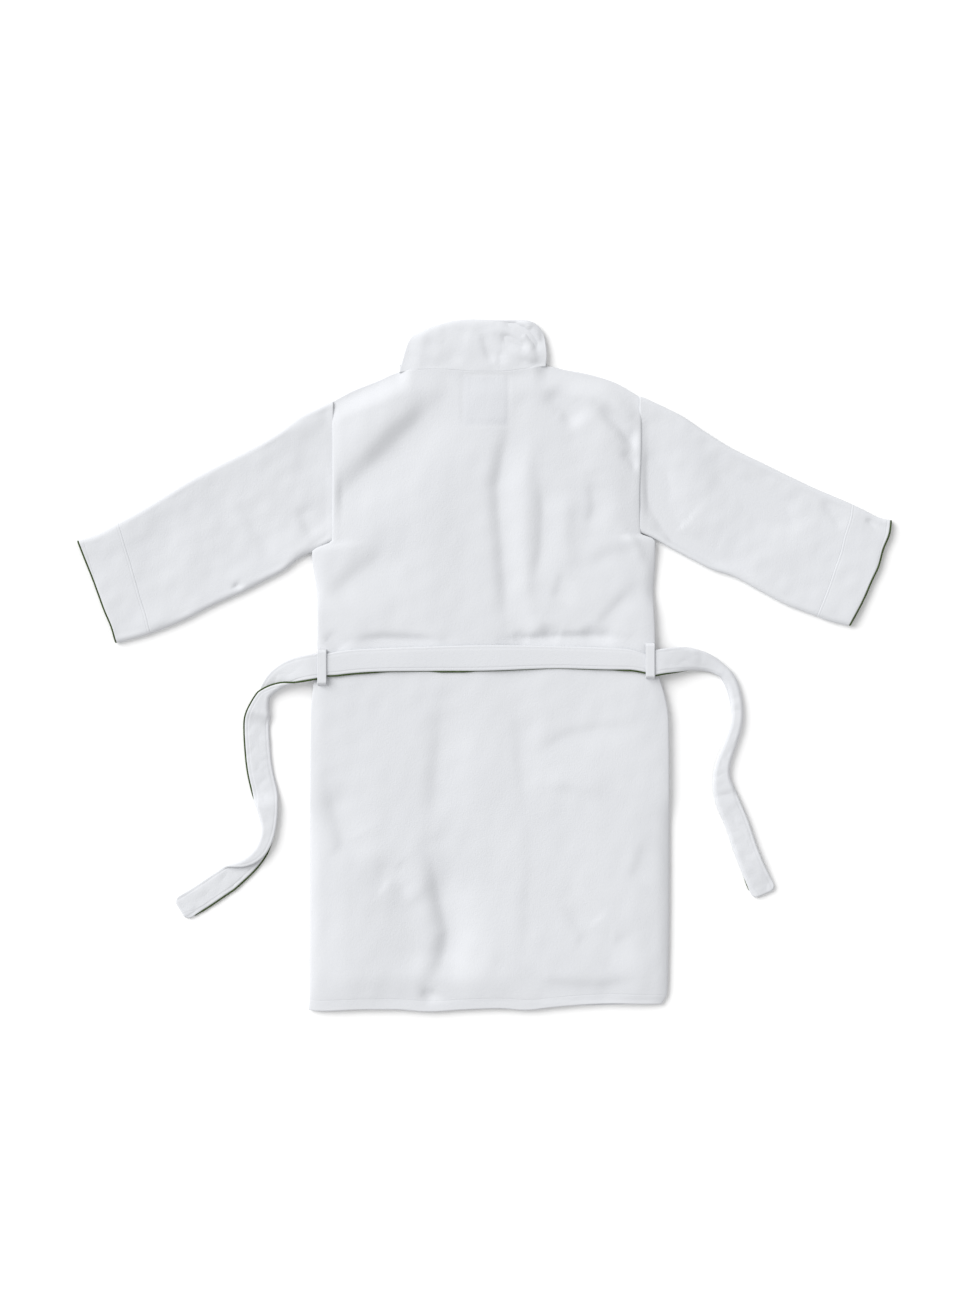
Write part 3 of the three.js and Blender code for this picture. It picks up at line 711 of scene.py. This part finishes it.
def lapel_seam(side, y):
    """Where a front meets its lapel: straight up from the hem, then out to the neckline's end."""
    sign = SIDES[side]
    straight = sign * (LAPEL + FRONT_GAP / 2) + FRONT_MEET
    share = np.clip((y - V_FOOT) / (NECK_Y - V_FOOT), 0, 1)
    return straight * (1 - share) + NECK_END[side] * share


def front_middle(side, u, v):
    """The middle of a front's cloth, from its side seam in to its lapel."""
    left, right = side_lines(v)
    outer = left if side == "left" else right
    outer[-1] = FRONT_SHOULDER[side][0]
    head_y = FRONT_SHOULDER[side][-1, 1]
    inner_y = HEM_Y + HEM_LIFT + v * (head_y - HEM_Y - HEM_LIFT)
    inner = np.stack([lapel_seam(side, inner_y) + SIDES[side] * SEAM_GAP, inner_y], axis=1)
    foot = np.stack([outer[0] * (1 - t) + inner[0] * t for t in u])
    head = line(FRONT_SHOULDER[side], u)
    inner[-1] = head[-1]
    plan = patch(outer, inner, foot, head, u, v, 0.1, 0.2)
    x, y = plan[..., 0], plan[..., 1]
    z = front_levels(x, y, side)
    return np.concatenate([plan, z[..., None]], axis=2)


def lapel_middle(side, u, v):
    """The middle of a lapel's cloth, a band of even width up the front edge and out along the V."""
    foot_y = HEM_Y + HEM_LIFT
    y = foot_y + v * (NECK_Y + 10 * MM - foot_y)
    seam = lapel_seam(side, y) - SIDES[side] * SEAM_GAP
    x = seam[None] - SIDES[side] * (LAPEL - 0.5 * MM) * u[:, None]
    grid_y = np.broadcast_to(y, x.shape)
    z = FLOOR_PLY * MM + 0.25 * MM * np.sin(grid_y * 2 * math.pi / (180 * MM)) ** 2
    return np.stack([x, grid_y, z], axis=2)


def pocket_middle(side, u, v):
    """The middle of a patch pocket's cloth: on the floor, with its two sides and its foot turned up."""
    low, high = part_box(f"pocket_{side}")
    x = low.x + u * (high.x - low.x)
    y = low.y + v * (high.y - low.y)
    x, y = np.meshgrid(x, y, indexing="ij")
    edge = np.minimum(np.minimum(x - low.x, high.x - x), y - low.y)
    z = (FLOOR_PLY + 2.3 * (1 - smooth(edge / (9 * MM)))) * MM
    return np.stack([x, y, z], axis=2)


class ROBE_OT_fronts(Operator):
    """Sew the two fronts with their lapels and pockets"""

    bl_idname = "robe.fronts"
    bl_label = "Fronts, lapels and pockets"

    def execute(self, context):
        cloth, look = context.scene.robe_cloth, context.scene.robe_look
        hemmed = velour("velour_front", look, [(1, HEM_ROW)])
        lapel_cloth = velour("velour_lapel", look, [(0, 6 * MM)])
        pocket_cloth = velour("velour_pocket", look, [(0, 5 * MM), (0, 143 * MM), (1, 5 * MM), (1, 165 * MM)])
        for side, sign in SIDES.items():
            u, v = stations(0.23, FRONT_GRID), stations(1.15, FRONT_GRID)
            piece = shell(f"robe_front_{side}", front_middle(side, u, v), cloth.ply)
            dress(piece, hemmed, "velour", f"front_{side}", f"front_flap_{side}")
            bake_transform(piece)
            u, v = stations(LAPEL, FRONT_GRID), stations(1.2, FRONT_GRID)
            piece = shell(f"robe_lapel_{side}", lapel_middle(side, u, v), cloth.ply)
            dress(piece, lapel_cloth, "velour", f"lapel_{side}")
            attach(piece, f"flap_{side}")
            u, v = stations(0.148, POCKET_GRID), stations(0.185, POCKET_GRID)
            piece = shell(f"robe_pocket_{side}", pocket_middle(side, u, v), cloth.ply)
            dress(piece, pocket_cloth, "velour", f"pocket_{side}")
            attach(piece, "robe")
        return {"FINISHED"}


# ---- Collar -----------------------------------------------------------------------------------------------------

COLLAR_LEFT = points((-160, 549), (-155, 566), (-149, 587), (-143, 604), (-134, 617))
COLLAR_RIGHT = points((115, 561), (117, 578), (115, 600), (112, 615), (106, 627))
COLLAR_HEAD = points((-134, 617), (-106, 630), (-83, 637), (-60, 643), (-21, 646), (29, 645), (66, 645), (92, 640),
                     (106, 627))
COLLAR_FOOT = points((-160, 549), (-130, 553.5), (-83, 554.5), (-46, 552.5), (-18, 550.5), (29, 550.5), (66, 554.5),
                     (115, 561))
COLLAR_FOLDS = [
    (points((-122, 612), (-84, 594), (-38, 560)), 8, -2.2),
    (points((-150, 584), (-120, 572), (-92, 558)), 6, -1.2),
    (points((-88, 632), (-54, 624), (-22, 618)), 11, -2.2),
    (points((-2, 624), (2, 604), (8, 584), (18, 562)), 9, -3.0),
    (points((30, 560), (28, 576), (34, 588)), 5, -1.6),
    (points((24, 643), (54, 637), (80, 624), (95, 604), (101, 576)), 6, -6.4),
    (points((52, 646), (80, 638), (99, 618), (106, 592)), 5, 2.6),
    (points((24, 618), (44, 612), (66, 600), (84, 586)), 6, -5.2),
    (points((40, 600), (72, 584), (98, 568)), 8, 1.6),
    (points((60, 574), (88, 566), (110, 560)), 5, -1.8),
]


def collar_middle(u, v, lowest, shrink):
    """The middle of a ply of the turned-up collar: from the neckline it stands up a little, then rolls down to
    the floor at its outer edge."""
    plan = patch(line(COLLAR_LEFT, v), line(COLLAR_RIGHT, v), line(COLLAR_FOOT, u), line(COLLAR_HEAD, u), u, v,
                 1.0, 1.0)
    centre = np.array([-20, 590]) * MM
    plan = centre + (plan - centre) * shrink
    plan[..., 1] -= 2.2 * MM * smooth(1 - v / 0.12)
    x, y = plan[..., 0], plan[..., 1]
    share = np.broadcast_to(v, x.shape)
    ends = smooth(np.minimum(u, 1 - u)[:, None] / 0.14)
    roll = np.sqrt(1 - np.clip(share, 0, 1) ** 3.2)
    z = lowest + (10.2 * MM) * roll * (0.55 + 0.45 * ends)
    return plan, x, y, z


class ROBE_OT_collar(Operator):
    """Sew the two plies of the shawl collar"""

    bl_idname = "robe.collar"
    bl_label = "Collar"

    def execute(self, context):
        cloth, look = context.scene.robe_cloth, context.scene.robe_look
        u, v = stations(0.26, 3.2 * MM), stations(0.094, 3.2 * MM)
        for name, node, lowest, shrink in (("robe_collar_outer", "collar_outer", 5.6 * MM, 1.0),
                                           ("robe_collar_facing", "collar_facing", 1.85 * MM, 0.985)):
            plan, x, y, z = collar_middle(u, v, lowest, shrink)
            if node == "collar_outer":
                inside = smooth(v / 0.08) * smooth((1 - v) / 0.05)
                for route, width, height in COLLAR_FOLDS:
                    z = z + fold(x, y, route, width, height) * inside
                z = z + ripple(x, y, 60, 0.4, RNG_SEED + 2) * inside
            piece = shell(name, np.concatenate([plan, z[..., None]], axis=2), cloth.ply)
            dress(piece, velour(f"velour_{node}", look), "velour", node)
            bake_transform(piece)
        return {"FINISHED"}


class ROBE_OT_neck_trims(Operator):
    """Sew in the neck patch, the hanger loop and the care label"""

    bl_idname = "robe.neck_trims"
    bl_label = "Neck patch, hanger loop and care label"

    def execute(self, context):
        look = context.scene.robe_look
        tape = woven_tape("tape", look)
        for node in ("neck_patch", "care_label"):
            low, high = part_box(node)
            u, v = stations(high.x - low.x, 4 * MM), stations(high.y - low.y, 4 * MM)
            x, y = np.meshgrid(low.x + u * (high.x - low.x), low.y + v * (high.y - low.y), indexing="ij")
            slope = (high.z - low.z - 1 * MM) * (1 - (y - low.y) / (high.y - low.y))
            middle = np.stack([x, y, low.z + 0.5 * MM + slope], axis=2)
            piece = shell(f"robe_{node}", middle, 1.0 * MM)
            dress(piece, tape, "tape", node)
            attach(piece, "robe")
        low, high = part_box("hanger_loop")
        along = stations(high.x - low.x, 2 * MM) * (high.x - low.x)
        drop = high.z - low.z - 2.2 * MM
        hang = smooth((along - 6 * MM) / (5 * MM)) * smooth((high.x - low.x - along - 6 * MM) / (5 * MM))
        path = np.stack([along, -drop * hang], axis=1)
        v = stations(high.y - low.y, 2 * MM)
        x = low.x + np.broadcast_to(path[:, :1], (len(path), len(v)))
        y = np.broadcast_to(low.y + v * (high.y - low.y), x.shape)
        z = np.broadcast_to(high.z - 1.1 * MM + path[:, 1:], x.shape)
        piece = shell("robe_hanger_loop", np.stack([x, y, z], axis=2), 2.0 * MM)
        dress(piece, tape, "velour", "hanger_loop")
        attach(piece, "robe")
        return {"FINISHED"}


# ---- Sleeves ------------------------------------------------------------------------------------------------------

SLEEVE_UPPER = {
    "left": points((-285, 493), (-313, 479), (-346, 463), (-380, 437.5), (-404, 422), (-449, 397.5), (-494, 375),
                   (-547, 347), (-588, 322.5), (-637, 294.5), (-689, 269), (-713, 257), (-748, 246)),
    "right": points((292.5, 502), (331, 484), (372, 463), (410, 437), (462, 405), (515, 379), (565, 354.5), (618, 330),
                    (670, 309.5), (704, 294.5), (732, 281), (752, 277)),
}
SLEEVE_LOWER = {
    "left": points((-285, 233), (-318, 215), (-342, 204.5), (-380, 176.5), (-415, 158), (-449, 140.5), (-518, 109),
                   (-560, 87), (-601, 69.5), (-645, 54), (-689, 42.5)),
    "right": points((292.5, 249), (323, 235), (357, 216), (393, 197), (427, 180), (462, 169), (515, 141), (565, 114.5),
                    (618, 94), (650, 82), (683, 74)),
}
CUFF_EDGE = {"left": points((-760, 232), (-744, 191), (-732, 161), (-721, 131), (-710, 101), (-698, 73), (-689, 43)),
             "right": points((760, 270), (757, 247), (745, 216), (736, 184), (723, 156), (710, 126), (683, 75))}
SLEEVE_FOLDS = {
    "left": [
        (points((-458, 309), (-430, 262), (-393, 206)), 16, -2.6),
        (points((-346, 300), (-330, 262), (-314, 236)), 13, -2.6),
        (points((-470, 152), (-454, 138)), 5, -3.0),
        (points((-560, 330), (-520, 230), (-500, 140)), 30, -1.6),
        (points((-640, 250), (-600, 160)), 24, -1.2),
        (points((-300, 440), (-330, 380), (-350, 330)), 24, -1.8),
    ],
    "right": [
        (points((629, 315), (650, 286), (672, 253)), 9, -2.2),
        (points((730, 279), (716, 262)), 7, -2.2),
        (points((300, 440), (306, 370), (318, 300), (352, 240), (430, 200), (520, 165)), 22, -5.4),
        (points((400, 380), (500, 320), (620, 250)), 40, -2.6),
        (points((420, 400), (470, 300), (500, 190)), 34, -1.6),
        (points((560, 330), (590, 240)), 24, -1.2),
    ],
}
SLEEVE_TOP = 12.9 * MM
SEAM_LAP = 2.2 * MM
SLEEVE_LENGTH = 0.54
CUFF = 78 * MM


def sleeve_middle(side, turn, share, ply, lift=0.0):
    """The middle of a sleeve's wall. Around it, the place between its upper and lower edge is (1 - cos(turn)) / 2,
    and the height is a flattened ring: a round fold along each edge, sinking a little in between."""
    cuff = line(CUFF_EDGE[side], (1 - np.cos(turn)) / 2)
    upper, lower = line(SLEEVE_UPPER[side], share), line(SLEEVE_LOWER[side], share)
    inward = -SIDES[side] * SEAM_LAP * smooth(1 - share / 0.02)
    upper, lower = (edge + np.stack([inward, 0 * inward], axis=1) for edge in (upper, lower))
    place = ((1 - np.cos(turn)) / 2)[:, None, None]
    plan = upper[None] * (1 - place) + lower[None] * place
    end = SLEEVE_UPPER[side][-1] * (1 - place[:, 0]) + SLEEVE_LOWER[side][-1] * place[:, 0]
    plan = plan + (cuff - end)[:, None] * smooth((share - 0.6) / 0.4)[None, :, None]
    width = np.linalg.norm(upper - lower, axis=1)[None]
    from_edge = np.minimum(place[..., 0], 1 - place[..., 0]) * width
    bulge = np.sqrt(1 - (1 - np.clip(from_edge / (8.5 * MM), 0, 1)) ** 2)
    x, y = plan[..., 0], plan[..., 1]
    top = SLEEVE_TOP - ply + lift
    sunk = (1.6 * MM) * smooth((from_edge - 12 * MM) / (45 * MM))
    inside = smooth(from_edge / (16 * MM)) * smooth(share / 0.03)[None] * smooth((1 - share) / 0.02 + 0.3)[None]
    folds = sum(fold(x, y, route, wide, high) for route, wide, high in SLEEVE_FOLDS[side])
    folds = folds + ripple(x, y, 110, 0.7, RNG_SEED + 3) + ripple(x, y, 40, 0.2, RNG_SEED + 4)
    upper_half = top / 2 + bulge * (top / 2 - sunk) + folds * inside * bpy.context.scene.robe_cloth.folds
    lower_half = top / 2 - bulge * top / 2
    over = (np.sin(turn) >= 0)[:, None]
    z = ply / 2 + 0.1 * MM + np.where(over, np.maximum(upper_half, 2.6 * MM), lower_half)
    return np.concatenate([plan, z[..., None]], axis=2)


class ROBE_OT_sleeves(Operator):
    """Sew the sleeves, the cuffs and the cuffs' piping"""

    bl_idname = "robe.sleeves"
    bl_label = "Sleeves and cuffs"

    def execute(self, context):
        cloth, look = context.scene.robe_cloth, context.scene.robe_look
        turn = np.linspace(0, 2 * math.pi, 132, endpoint=False)
        piping_cloth = twill("piping_cuffs", look)
        for side, sign in SIDES.items():
            stitch = 1 - CUFF / SLEEVE_LENGTH
            share = stations(SLEEVE_LENGTH - CUFF, 5 * MM) * (stitch - 0.0006)
            piece = shell(f"robe_sleeve_{side}", sleeve_middle(side, turn, share, cloth.ply), cloth.ply, around=True)
            dress(piece, velour(f"velour_sleeve_{side}", look), "velour", f"sleeve_{side}")
            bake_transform(piece)
            lap = 1.6 * MM / SLEEVE_LENGTH
            share = stitch - lap + stations(CUFF, 4 * MM) * (1 - stitch + lap)
            middle = sleeve_middle(side, turn, share, cloth.ply, 0.4 * MM)
            piece = shell(f"robe_cuff_{side}", middle, cloth.ply, around=True)
            cuff_cloth = velour(f"velour_cuff_{side}", look, [(1, 5 * MM), (1, 73 * MM)])
            dress(piece, cuff_cloth, "velour", f"cuff_{side}")
            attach(piece, f"sleeve_{side}")
            rim = sleeve_middle(side, turn, np.array([1.0]), cloth.ply, 0.4 * MM)[:, 0]
            outward = rim - sleeve_middle(side, turn, np.array([0.985]), cloth.ply, 0.4 * MM)[:, 0]
            outward[:, 2] = 0
            outward /= np.linalg.norm(outward, axis=1, keepdims=True)
            edge = cord_mesh(f"robe_cuff_piping_{side}", rim + outward * cloth.piping * 0.9, cloth.piping,
                             closed=True, aside=outward)
            dress(edge, piping_cloth, "piping", f"cuff_piping_{side}")
            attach(edge, f"sleeve_{side}")
        return {"FINISHED"}


# ---- Belt ---------------------------------------------------------------------------------------------------------

BELT_TOP_EDGE = points((-306, 19), (-280, 24), (-252, 28), (-200, 31), (-121, 34), (-8, 37), (142, 35), (228, 32),
                       (271, 29), (308, 19))
BELT_FOOT_EDGE = points((-306, -19.5), (-280, -19), (-252, -16), (-200, -12.5), (-121, -11.5), (-8, -11), (142, -6.5),
                        (228, -8.5), (271, -9), (308, -15))


BELT_END_DROP = 0.8 * MM
PIPING_SET = 0.75  # how far the piping's middle stands off the edge, in its own radii


def belt_thickness(across, thick):
    """Two plies, thinner in the stitched groove beside each edge."""
    v = np.abs(across * 2 - 1)
    return thick * (1 - 0.12 * v**4 - 0.16 * np.exp(-(((v - 0.76) / 0.06) ** 2)))


def belt_back_middle(u, v):
    """The middle of the belt across the back, between its two edges."""
    share = (BELT_TOP_EDGE[:, 0] - BELT_TOP_EDGE[0, 0]) / (BELT_TOP_EDGE[-1, 0] - BELT_TOP_EDGE[0, 0])
    top, foot = line(BELT_TOP_EDGE, u, share), line(BELT_FOOT_EDGE, u, share)
    plan = foot[:, None] * (1 - v[None, :, None]) + top[:, None] * v[None, :, None]
    x, y = plan[..., 0], plan[..., 1]
    z = BELT_Z + ripple(x, y, 120, 0.35, RNG_SEED + 5) - BELT_END_DROP * smooth((np.abs(x) - 0.24) / 0.06)
    return np.concatenate([plan, z[..., None]], axis=2)


def away(x, middle, reach, start):
    """0 about a place along the belt, rising to 1 as the distance from it, in reaches, passes start."""
    return smooth(np.abs(x - middle) / reach - start)


class ROBE_OT_belt(Operator):
    """Lay the belt and its piping across the back"""

    bl_idname = "robe.belt"
    bl_label = "Belt across the back"

    def execute(self, context):
        cloth, look = context.scene.robe_cloth, context.scene.robe_look
        u, v = stations(0.614, 4 * MM), stations(0.046, 2 * MM)
        middle = belt_back_middle(u, v)
        piece = shell("robe_belt_back", middle, belt_thickness(v, cloth.belt)[None])
        dress(piece, velour("velour_belt", look, [(1, 6 * MM)]), "velour", "belt_back")
        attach(piece, "belt")
        foot_x = middle[:, 0, 0]
        shown = away(foot_x, -0.25, 0.05, 0.6) * away(foot_x, 0.285, 0.04, 0.4)
        shown *= away(foot_x, -0.06, 0.03, 0.6)
        tuck = 1.7 * MM * shown
        path = middle[2:-2, 0] + np.stack([tuck * 0, -cloth.piping * PIPING_SET + tuck, -tuck * 1.3], axis=1)[2:-2]
        edge = cord_mesh("robe_belt_piping_back", path, cloth.piping)
        dress(edge, twill("piping_belt", look), "piping", "belt_piping_back")
        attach(edge, "belt")
        return {"FINISHED"}


# Middle of what shows of each tail, from beside its loop to its tip.
TAIL_ROUTES = {
    "left": points((-306, -0.5), (-318, -2), (-346, -7.5), (-367, -12), (-383, -19), (-399, -32), (-413, -50),
                   (-422, -74), (-427, -100), (-427, -124), (-425, -150), (-421, -197), (-412, -233), (-406, -261),
                   (-402, -292), (-402, -311), (-408, -332), (-428, -364), (-445, -380), (-470, -394), (-489, -405),
                   (-517, -425), (-540, -440), (-571, -459)),
    "right": points((308, 2), (323, 6.5), (345, 9), (365, 10.5), (387, 12), (410, 7), (434, -1.5), (449, -13),
                    (459, -28), (467, -53), (472, -80), (473, -100), (467, -128), (456, -158), (445, -186), (442, -212),
                    (448, -238), (457, -260), (467, -280), (475, -299), (484, -329), (496, -362), (504, -381),
                    (525, -430)),
}
# How each tail is rolled: the edge that rolls over, the side that it folds at (1 outside the bend, -1 inside),
# over or under, and how much of the width has rolled by shares of the length.
TAIL_ROLLS = {
    "left": [
        ("piped", -1, "over", [(0.0, 0), (0.06, 0.03), (0.13, 0.2), (0.19, 0.42), (0.235, 0.62), (0.29, 1.0), (1, 1)]),
        ("piped", 1, "under", [(0, 0), (0.50, 0.0), (0.56, 0.22), (0.62, 0.45), (0.70, 0.5), (0.76, 0.62), (0.84, 1.0),
                               (1, 1)]),
    ],
    "right": [
        ("plain", 1, "under", [(0, 0), (0.07, 0.03), (0.16, 0.2), (0.235, 0.48), (0.30, 0.52), (0.42, 0.48),
                               (0.52, 0.44), (0.60, 0.32), (0.66, 0.12), (0.72, 0), (1, 0)]),
    ],
}
# How far the piped edge curls under, in degrees, by shares of the length.
TAIL_CURLS = {"left": [(0, 0), (1, 0)], "right": [(0, 0), (0.06, 20), (0.16, 105), (0.9, 105), (0.97, 30), (1, 20)]}
TAIL_WIDTH = 46 * MM
ROLL_RADIUS = 3.6 * MM
CURL_REACH = 9 * MM
TIP_ROUND = 11 * MM
TAIL_GROUND = 3.1 * MM


def rolled_section(g, across, curl):
    """A tail's section while a share g of its width has rolled over. Along the width the cloth's angle goes from
    0 to a half turn round a bend of ROLL_RADIUS, and the section is the running sum of its cosine and sine. The
    edge that doesn't roll starts at an angle of its own, the curl. Gives the place across, centred, and the
    climb."""
    bend = TAIL_WIDTH * (1 - g) + (math.pi / 2) * ROLL_RADIUS * (1 - 2 * g)
    angle = np.clip((across - bend) / ROLL_RADIUS + math.pi / 2, 0, math.pi)
    angle = angle - curl * (1 - smooth(across / CURL_REACH))
    step = np.diff(across, axis=1)
    half = (angle[:, 1:] + angle[:, :-1]) / 2
    place = np.pad(np.cumsum(np.cos(half) * step, axis=1), ((0, 0), (1, 0)))
    climb = np.pad(np.cumsum(np.sin(half) * step, axis=1), ((0, 0), (1, 0)))
    return place - (place.max(1, keepdims=True) + place.min(1, keepdims=True)) / 2, climb


def tail_middle(side, s, t):
    """The middle of a tail's cloth. Across it, t goes from the plain edge to the piped one. Each section lies on
    the floor with its lowest ply, and its middle is on the route."""
    centre = line(TAIL_ROUTES[side], s)
    for _ in range(3):
        padded = np.pad(centre, ((5, 5), (0, 0)), mode="reflect", reflect_type="odd")
        centre = np.stack([np.convolve(padded[:, k], np.ones(11) / 11, mode="valid") for k in (0, 1)], axis=1)
    run = np.gradient(centre, s, axis=0)
    run /= np.linalg.norm(run, axis=1, keepdims=True)
    out = np.stack([run[:, 1], -run[:, 0]], axis=1) * -SIDES[side]
    curl = np.radians(np.interp(s, *np.array(TAIL_CURLS[side], float).T))[:, None]
    plan = height = None
    for edge, fold_side, way, rolled in TAIL_ROLLS[side]:
        share = np.interp(s, *np.array(rolled).T)
        share = np.convolve(np.pad(share, 6, mode="edge"), np.ones(13) / 13, mode="valid")[:, None]
        from_fixed = t * TAIL_WIDTH if edge == "piped" else (1 - t[::-1]) * TAIL_WIDTH
        place, climb = rolled_section(share, np.broadcast_to(from_fixed, (len(s), len(t))), curl)
        if edge == "plain":
            place, climb = place[:, ::-1], climb[:, ::-1]
        climb = climb * (1 if way == "over" else -1)
        place, climb = fold_side * place, climb - climb.min(1, keepdims=True)
        if plan is None:
            plan, height = place, climb
        else:
            later = (s > 0.40)[:, None]
            plan, height = np.where(later, place, plan), np.where(later, climb, height)
    ground = TAIL_GROUND + (BELT_Z - TAIL_GROUND - BELT_END_DROP) * (1 - smooth((s - 0.02) / 0.19))
    spread = centre[:, None] + out[:, None] * plan[..., None]
    # The tip's corners are turned: near the end each line draws back as a circle of TIP_ROUND does.
    beside = np.clip((np.abs(plan) - (np.abs(plan).max(1, keepdims=True) - TIP_ROUND)) / TIP_ROUND, 0, 1)
    drawn = TIP_ROUND * (1 - np.sqrt(1 - beside**2)) * smooth((s - 0.94) / 0.06)[:, None]
    spread = spread - run[:, None] * drawn[..., None]
    return np.concatenate([spread, (ground[:, None] + height)[..., None]], axis=2)


class ROBE_OT_tails(Operator):
    """Lay the belt's two tails, rolled and twisted, with their piping"""

    bl_idname = "robe.tails"
    bl_label = "Belt tails"

    def execute(self, context):
        cloth, look = context.scene.robe_cloth, context.scene.robe_look
        tail_cloth = velour("velour_tail", look, [(1, 39 * MM)])
        piping_cloth = twill("piping_tails", look)
        for side, sign in SIDES.items():
            s, t = stations(0.62, 3.2 * MM), stations(TAIL_WIDTH, 1.3 * MM)
            middle = tail_middle(side, s, t)
            x, y = middle[..., 0], middle[..., 1]
            uneven = ripple(x, y, 70, 0.6, RNG_SEED + 6) + ripple(x, y, 28, 0.3, RNG_SEED + 7)
            middle[..., 2] += np.abs(uneven) * smooth(s / 0.1)[:, None]
            piece = shell(f"robe_belt_tail_{side}", middle, belt_thickness(t, cloth.belt)[None])
            dress(piece, tail_cloth, "velour", f"belt_tail_{side}")
            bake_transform(piece)
            beyond = middle[:, -1] - middle[:, -2]
            beyond /= np.linalg.norm(beyond, axis=1, keepdims=True)
            path = middle[:, -1] + beyond * (cloth.piping * PIPING_SET)
            path[:, 2] = np.maximum(path[:, 2], cloth.piping + 0.2 * MM)
            edge = cord_mesh(f"robe_belt_tail_piping_{side}", path[3:-3], cloth.piping)
            dress(edge, piping_cloth, "piping", f"belt_tail_piping_{side}")
            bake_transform(edge)
        return {"FINISHED"}


# Each loop is sewn down over its first millimetre and then stands up steeply, clear of the belt's edge as it slides.
LOOP_HEM = 0.8 * MM
LOOP_RISE = 3.9 * MM
LOOP_PLY = 2.6 * MM
LOOP_OVER = 1.6 * MM
LOOP_FOOT = 1.8 * MM


class ROBE_OT_loops(Operator):
    """Sew on the two belt loops"""

    bl_idname = "robe.loops"
    bl_label = "Belt loops"

    def execute(self, context):
        look = context.scene.robe_look
        loop_cloth = velour("velour_loop", look, [(1, 2.5 * MM)])
        for side in SIDES:
            low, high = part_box(f"belt_loop_{side}")
            reach = high.y - low.y
            top = BELT_HIGH.z + LOOP_OVER
            foot = low.z + LOOP_FOOT
            along = stations(reach, 1.6 * MM) * reach
            arch = smooth((along - LOOP_HEM) / LOOP_RISE) * smooth((reach - along - LOOP_HEM) / LOOP_RISE)
            path = np.stack([along, foot + (top - foot) * arch], axis=1)
            v = stations(high.x - low.x, 1.8 * MM)
            x = np.broadcast_to(low.x + v * (high.x - low.x), (len(path), len(v)))
            y = low.y + np.broadcast_to(path[:, :1], x.shape)
            z = np.broadcast_to(path[:, 1:], x.shape)
            piece = shell(f"robe_belt_loop_{side}", np.stack([x, y, z], axis=2), LOOP_PLY)
            dress(piece, loop_cloth, "velour", f"belt_loop_{side}")
            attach(piece, "robe")
        return {"FINISHED"}


# ---- Stage ----------------------------------------------------------------------------------------------------------

FLOOR_HALF = 30.0
LOOK_AT = (7.5 * MM, 28 * MM, 0)
KEY_SIDE = (-0.82, 0.57)


class ROBE_OT_stage(Operator):
    """Set the floor, the light and the camera"""

    bl_idname = "robe.stage"
    bl_label = "Floor, light and camera"

    def execute(self, context):
        scene, stage = context.scene, context.scene.robe_stage
        corners = np.array([(-1, -1, 0), (1, -1, 0), (1, 1, 0), (-1, 1, 0)]) * FLOOR_HALF
        mesh = bpy.data.meshes.new("floor")
        mesh.from_pydata(corners.tolist(), [], [[0, 1, 2, 3]])
        floor = bpy.data.objects.new("floor", mesh)
        scene.collection.objects.link(floor)
        floor.data.materials.append(Weave("paper_floor", stage.floor, 0.9).material)

        centre = Vector(LOOK_AT)
        world = bpy.data.worlds.new("studio")
        world.use_nodes = True
        world.node_tree.nodes["Background"].inputs["Color"].default_value = (1, 1, 1, 1)
        world.node_tree.nodes["Background"].inputs["Strength"].default_value = stage.sky
        scene.world = world

        key = bpy.data.objects.new("key", bpy.data.lights.new("key", "SUN"))
        key.data.energy = stage.key
        key.data.angle = stage.spread
        towards = Vector((*(math.cos(stage.rise) * share for share in KEY_SIDE), math.sin(stage.rise)))
        key.location = centre + towards * 4
        key.rotation_euler = towards.to_track_quat("Z", "Y").to_euler()
        scene.collection.objects.link(key)

        camera = bpy.data.objects.new("camera", bpy.data.cameras.new("camera"))
        camera.data.lens = stage.lens
        camera.data.sensor_width = 36
        camera.location = centre + Vector((0, 0, stage.height))
        scene.collection.objects.link(camera)
        scene.camera = camera
        scene.view_settings.view_transform = "Standard"
        return {"FINISHED"}


OPERATORS = (ROBE_OT_stage, ROBE_OT_back, ROBE_OT_fronts, ROBE_OT_collar, ROBE_OT_neck_trims, ROBE_OT_sleeves,
             ROBE_OT_belt, ROBE_OT_tails, ROBE_OT_loops)


class ROBE_PT_panel(Panel):
    """Lists the pieces and their sizes"""

    bl_idname = "ROBE_PT_panel"
    bl_label = "Bathrobe"
    bl_space_type = "VIEW_3D"
    bl_region_type = "UI"
    bl_category = "Bathrobe"

    def draw(self, context):
        for group in (context.scene.robe_cloth, context.scene.robe_look, context.scene.robe_stage):
            for name in group.__annotations__:
                self.layout.prop(group, name)
        for operator in OPERATORS:
            self.layout.operator(operator.bl_idname)


CLASSES = (RobeCloth, RobeLook, RobeStage, *OPERATORS, ROBE_PT_panel)


def register():
    """Adds the classes and their settings."""
    for item in CLASSES:
        bpy.utils.register_class(item)
    bpy.types.Scene.robe_cloth = PointerProperty(type=RobeCloth)
    bpy.types.Scene.robe_look = PointerProperty(type=RobeLook)
    bpy.types.Scene.robe_stage = PointerProperty(type=RobeStage)


def unregister():
    """Takes them away again, last first."""
    for name in ("robe_cloth", "robe_look", "robe_stage"):
        delattr(bpy.types.Scene, name)
    for item in reversed(CLASSES):
        bpy.utils.unregister_class(item)


def main():
    """Makes every piece in turn."""
    register()
    for operator in OPERATORS:
        group, name = operator.bl_idname.split(".")
        getattr(getattr(bpy.ops, group), name)()


if __name__ == "__main__":
    main()
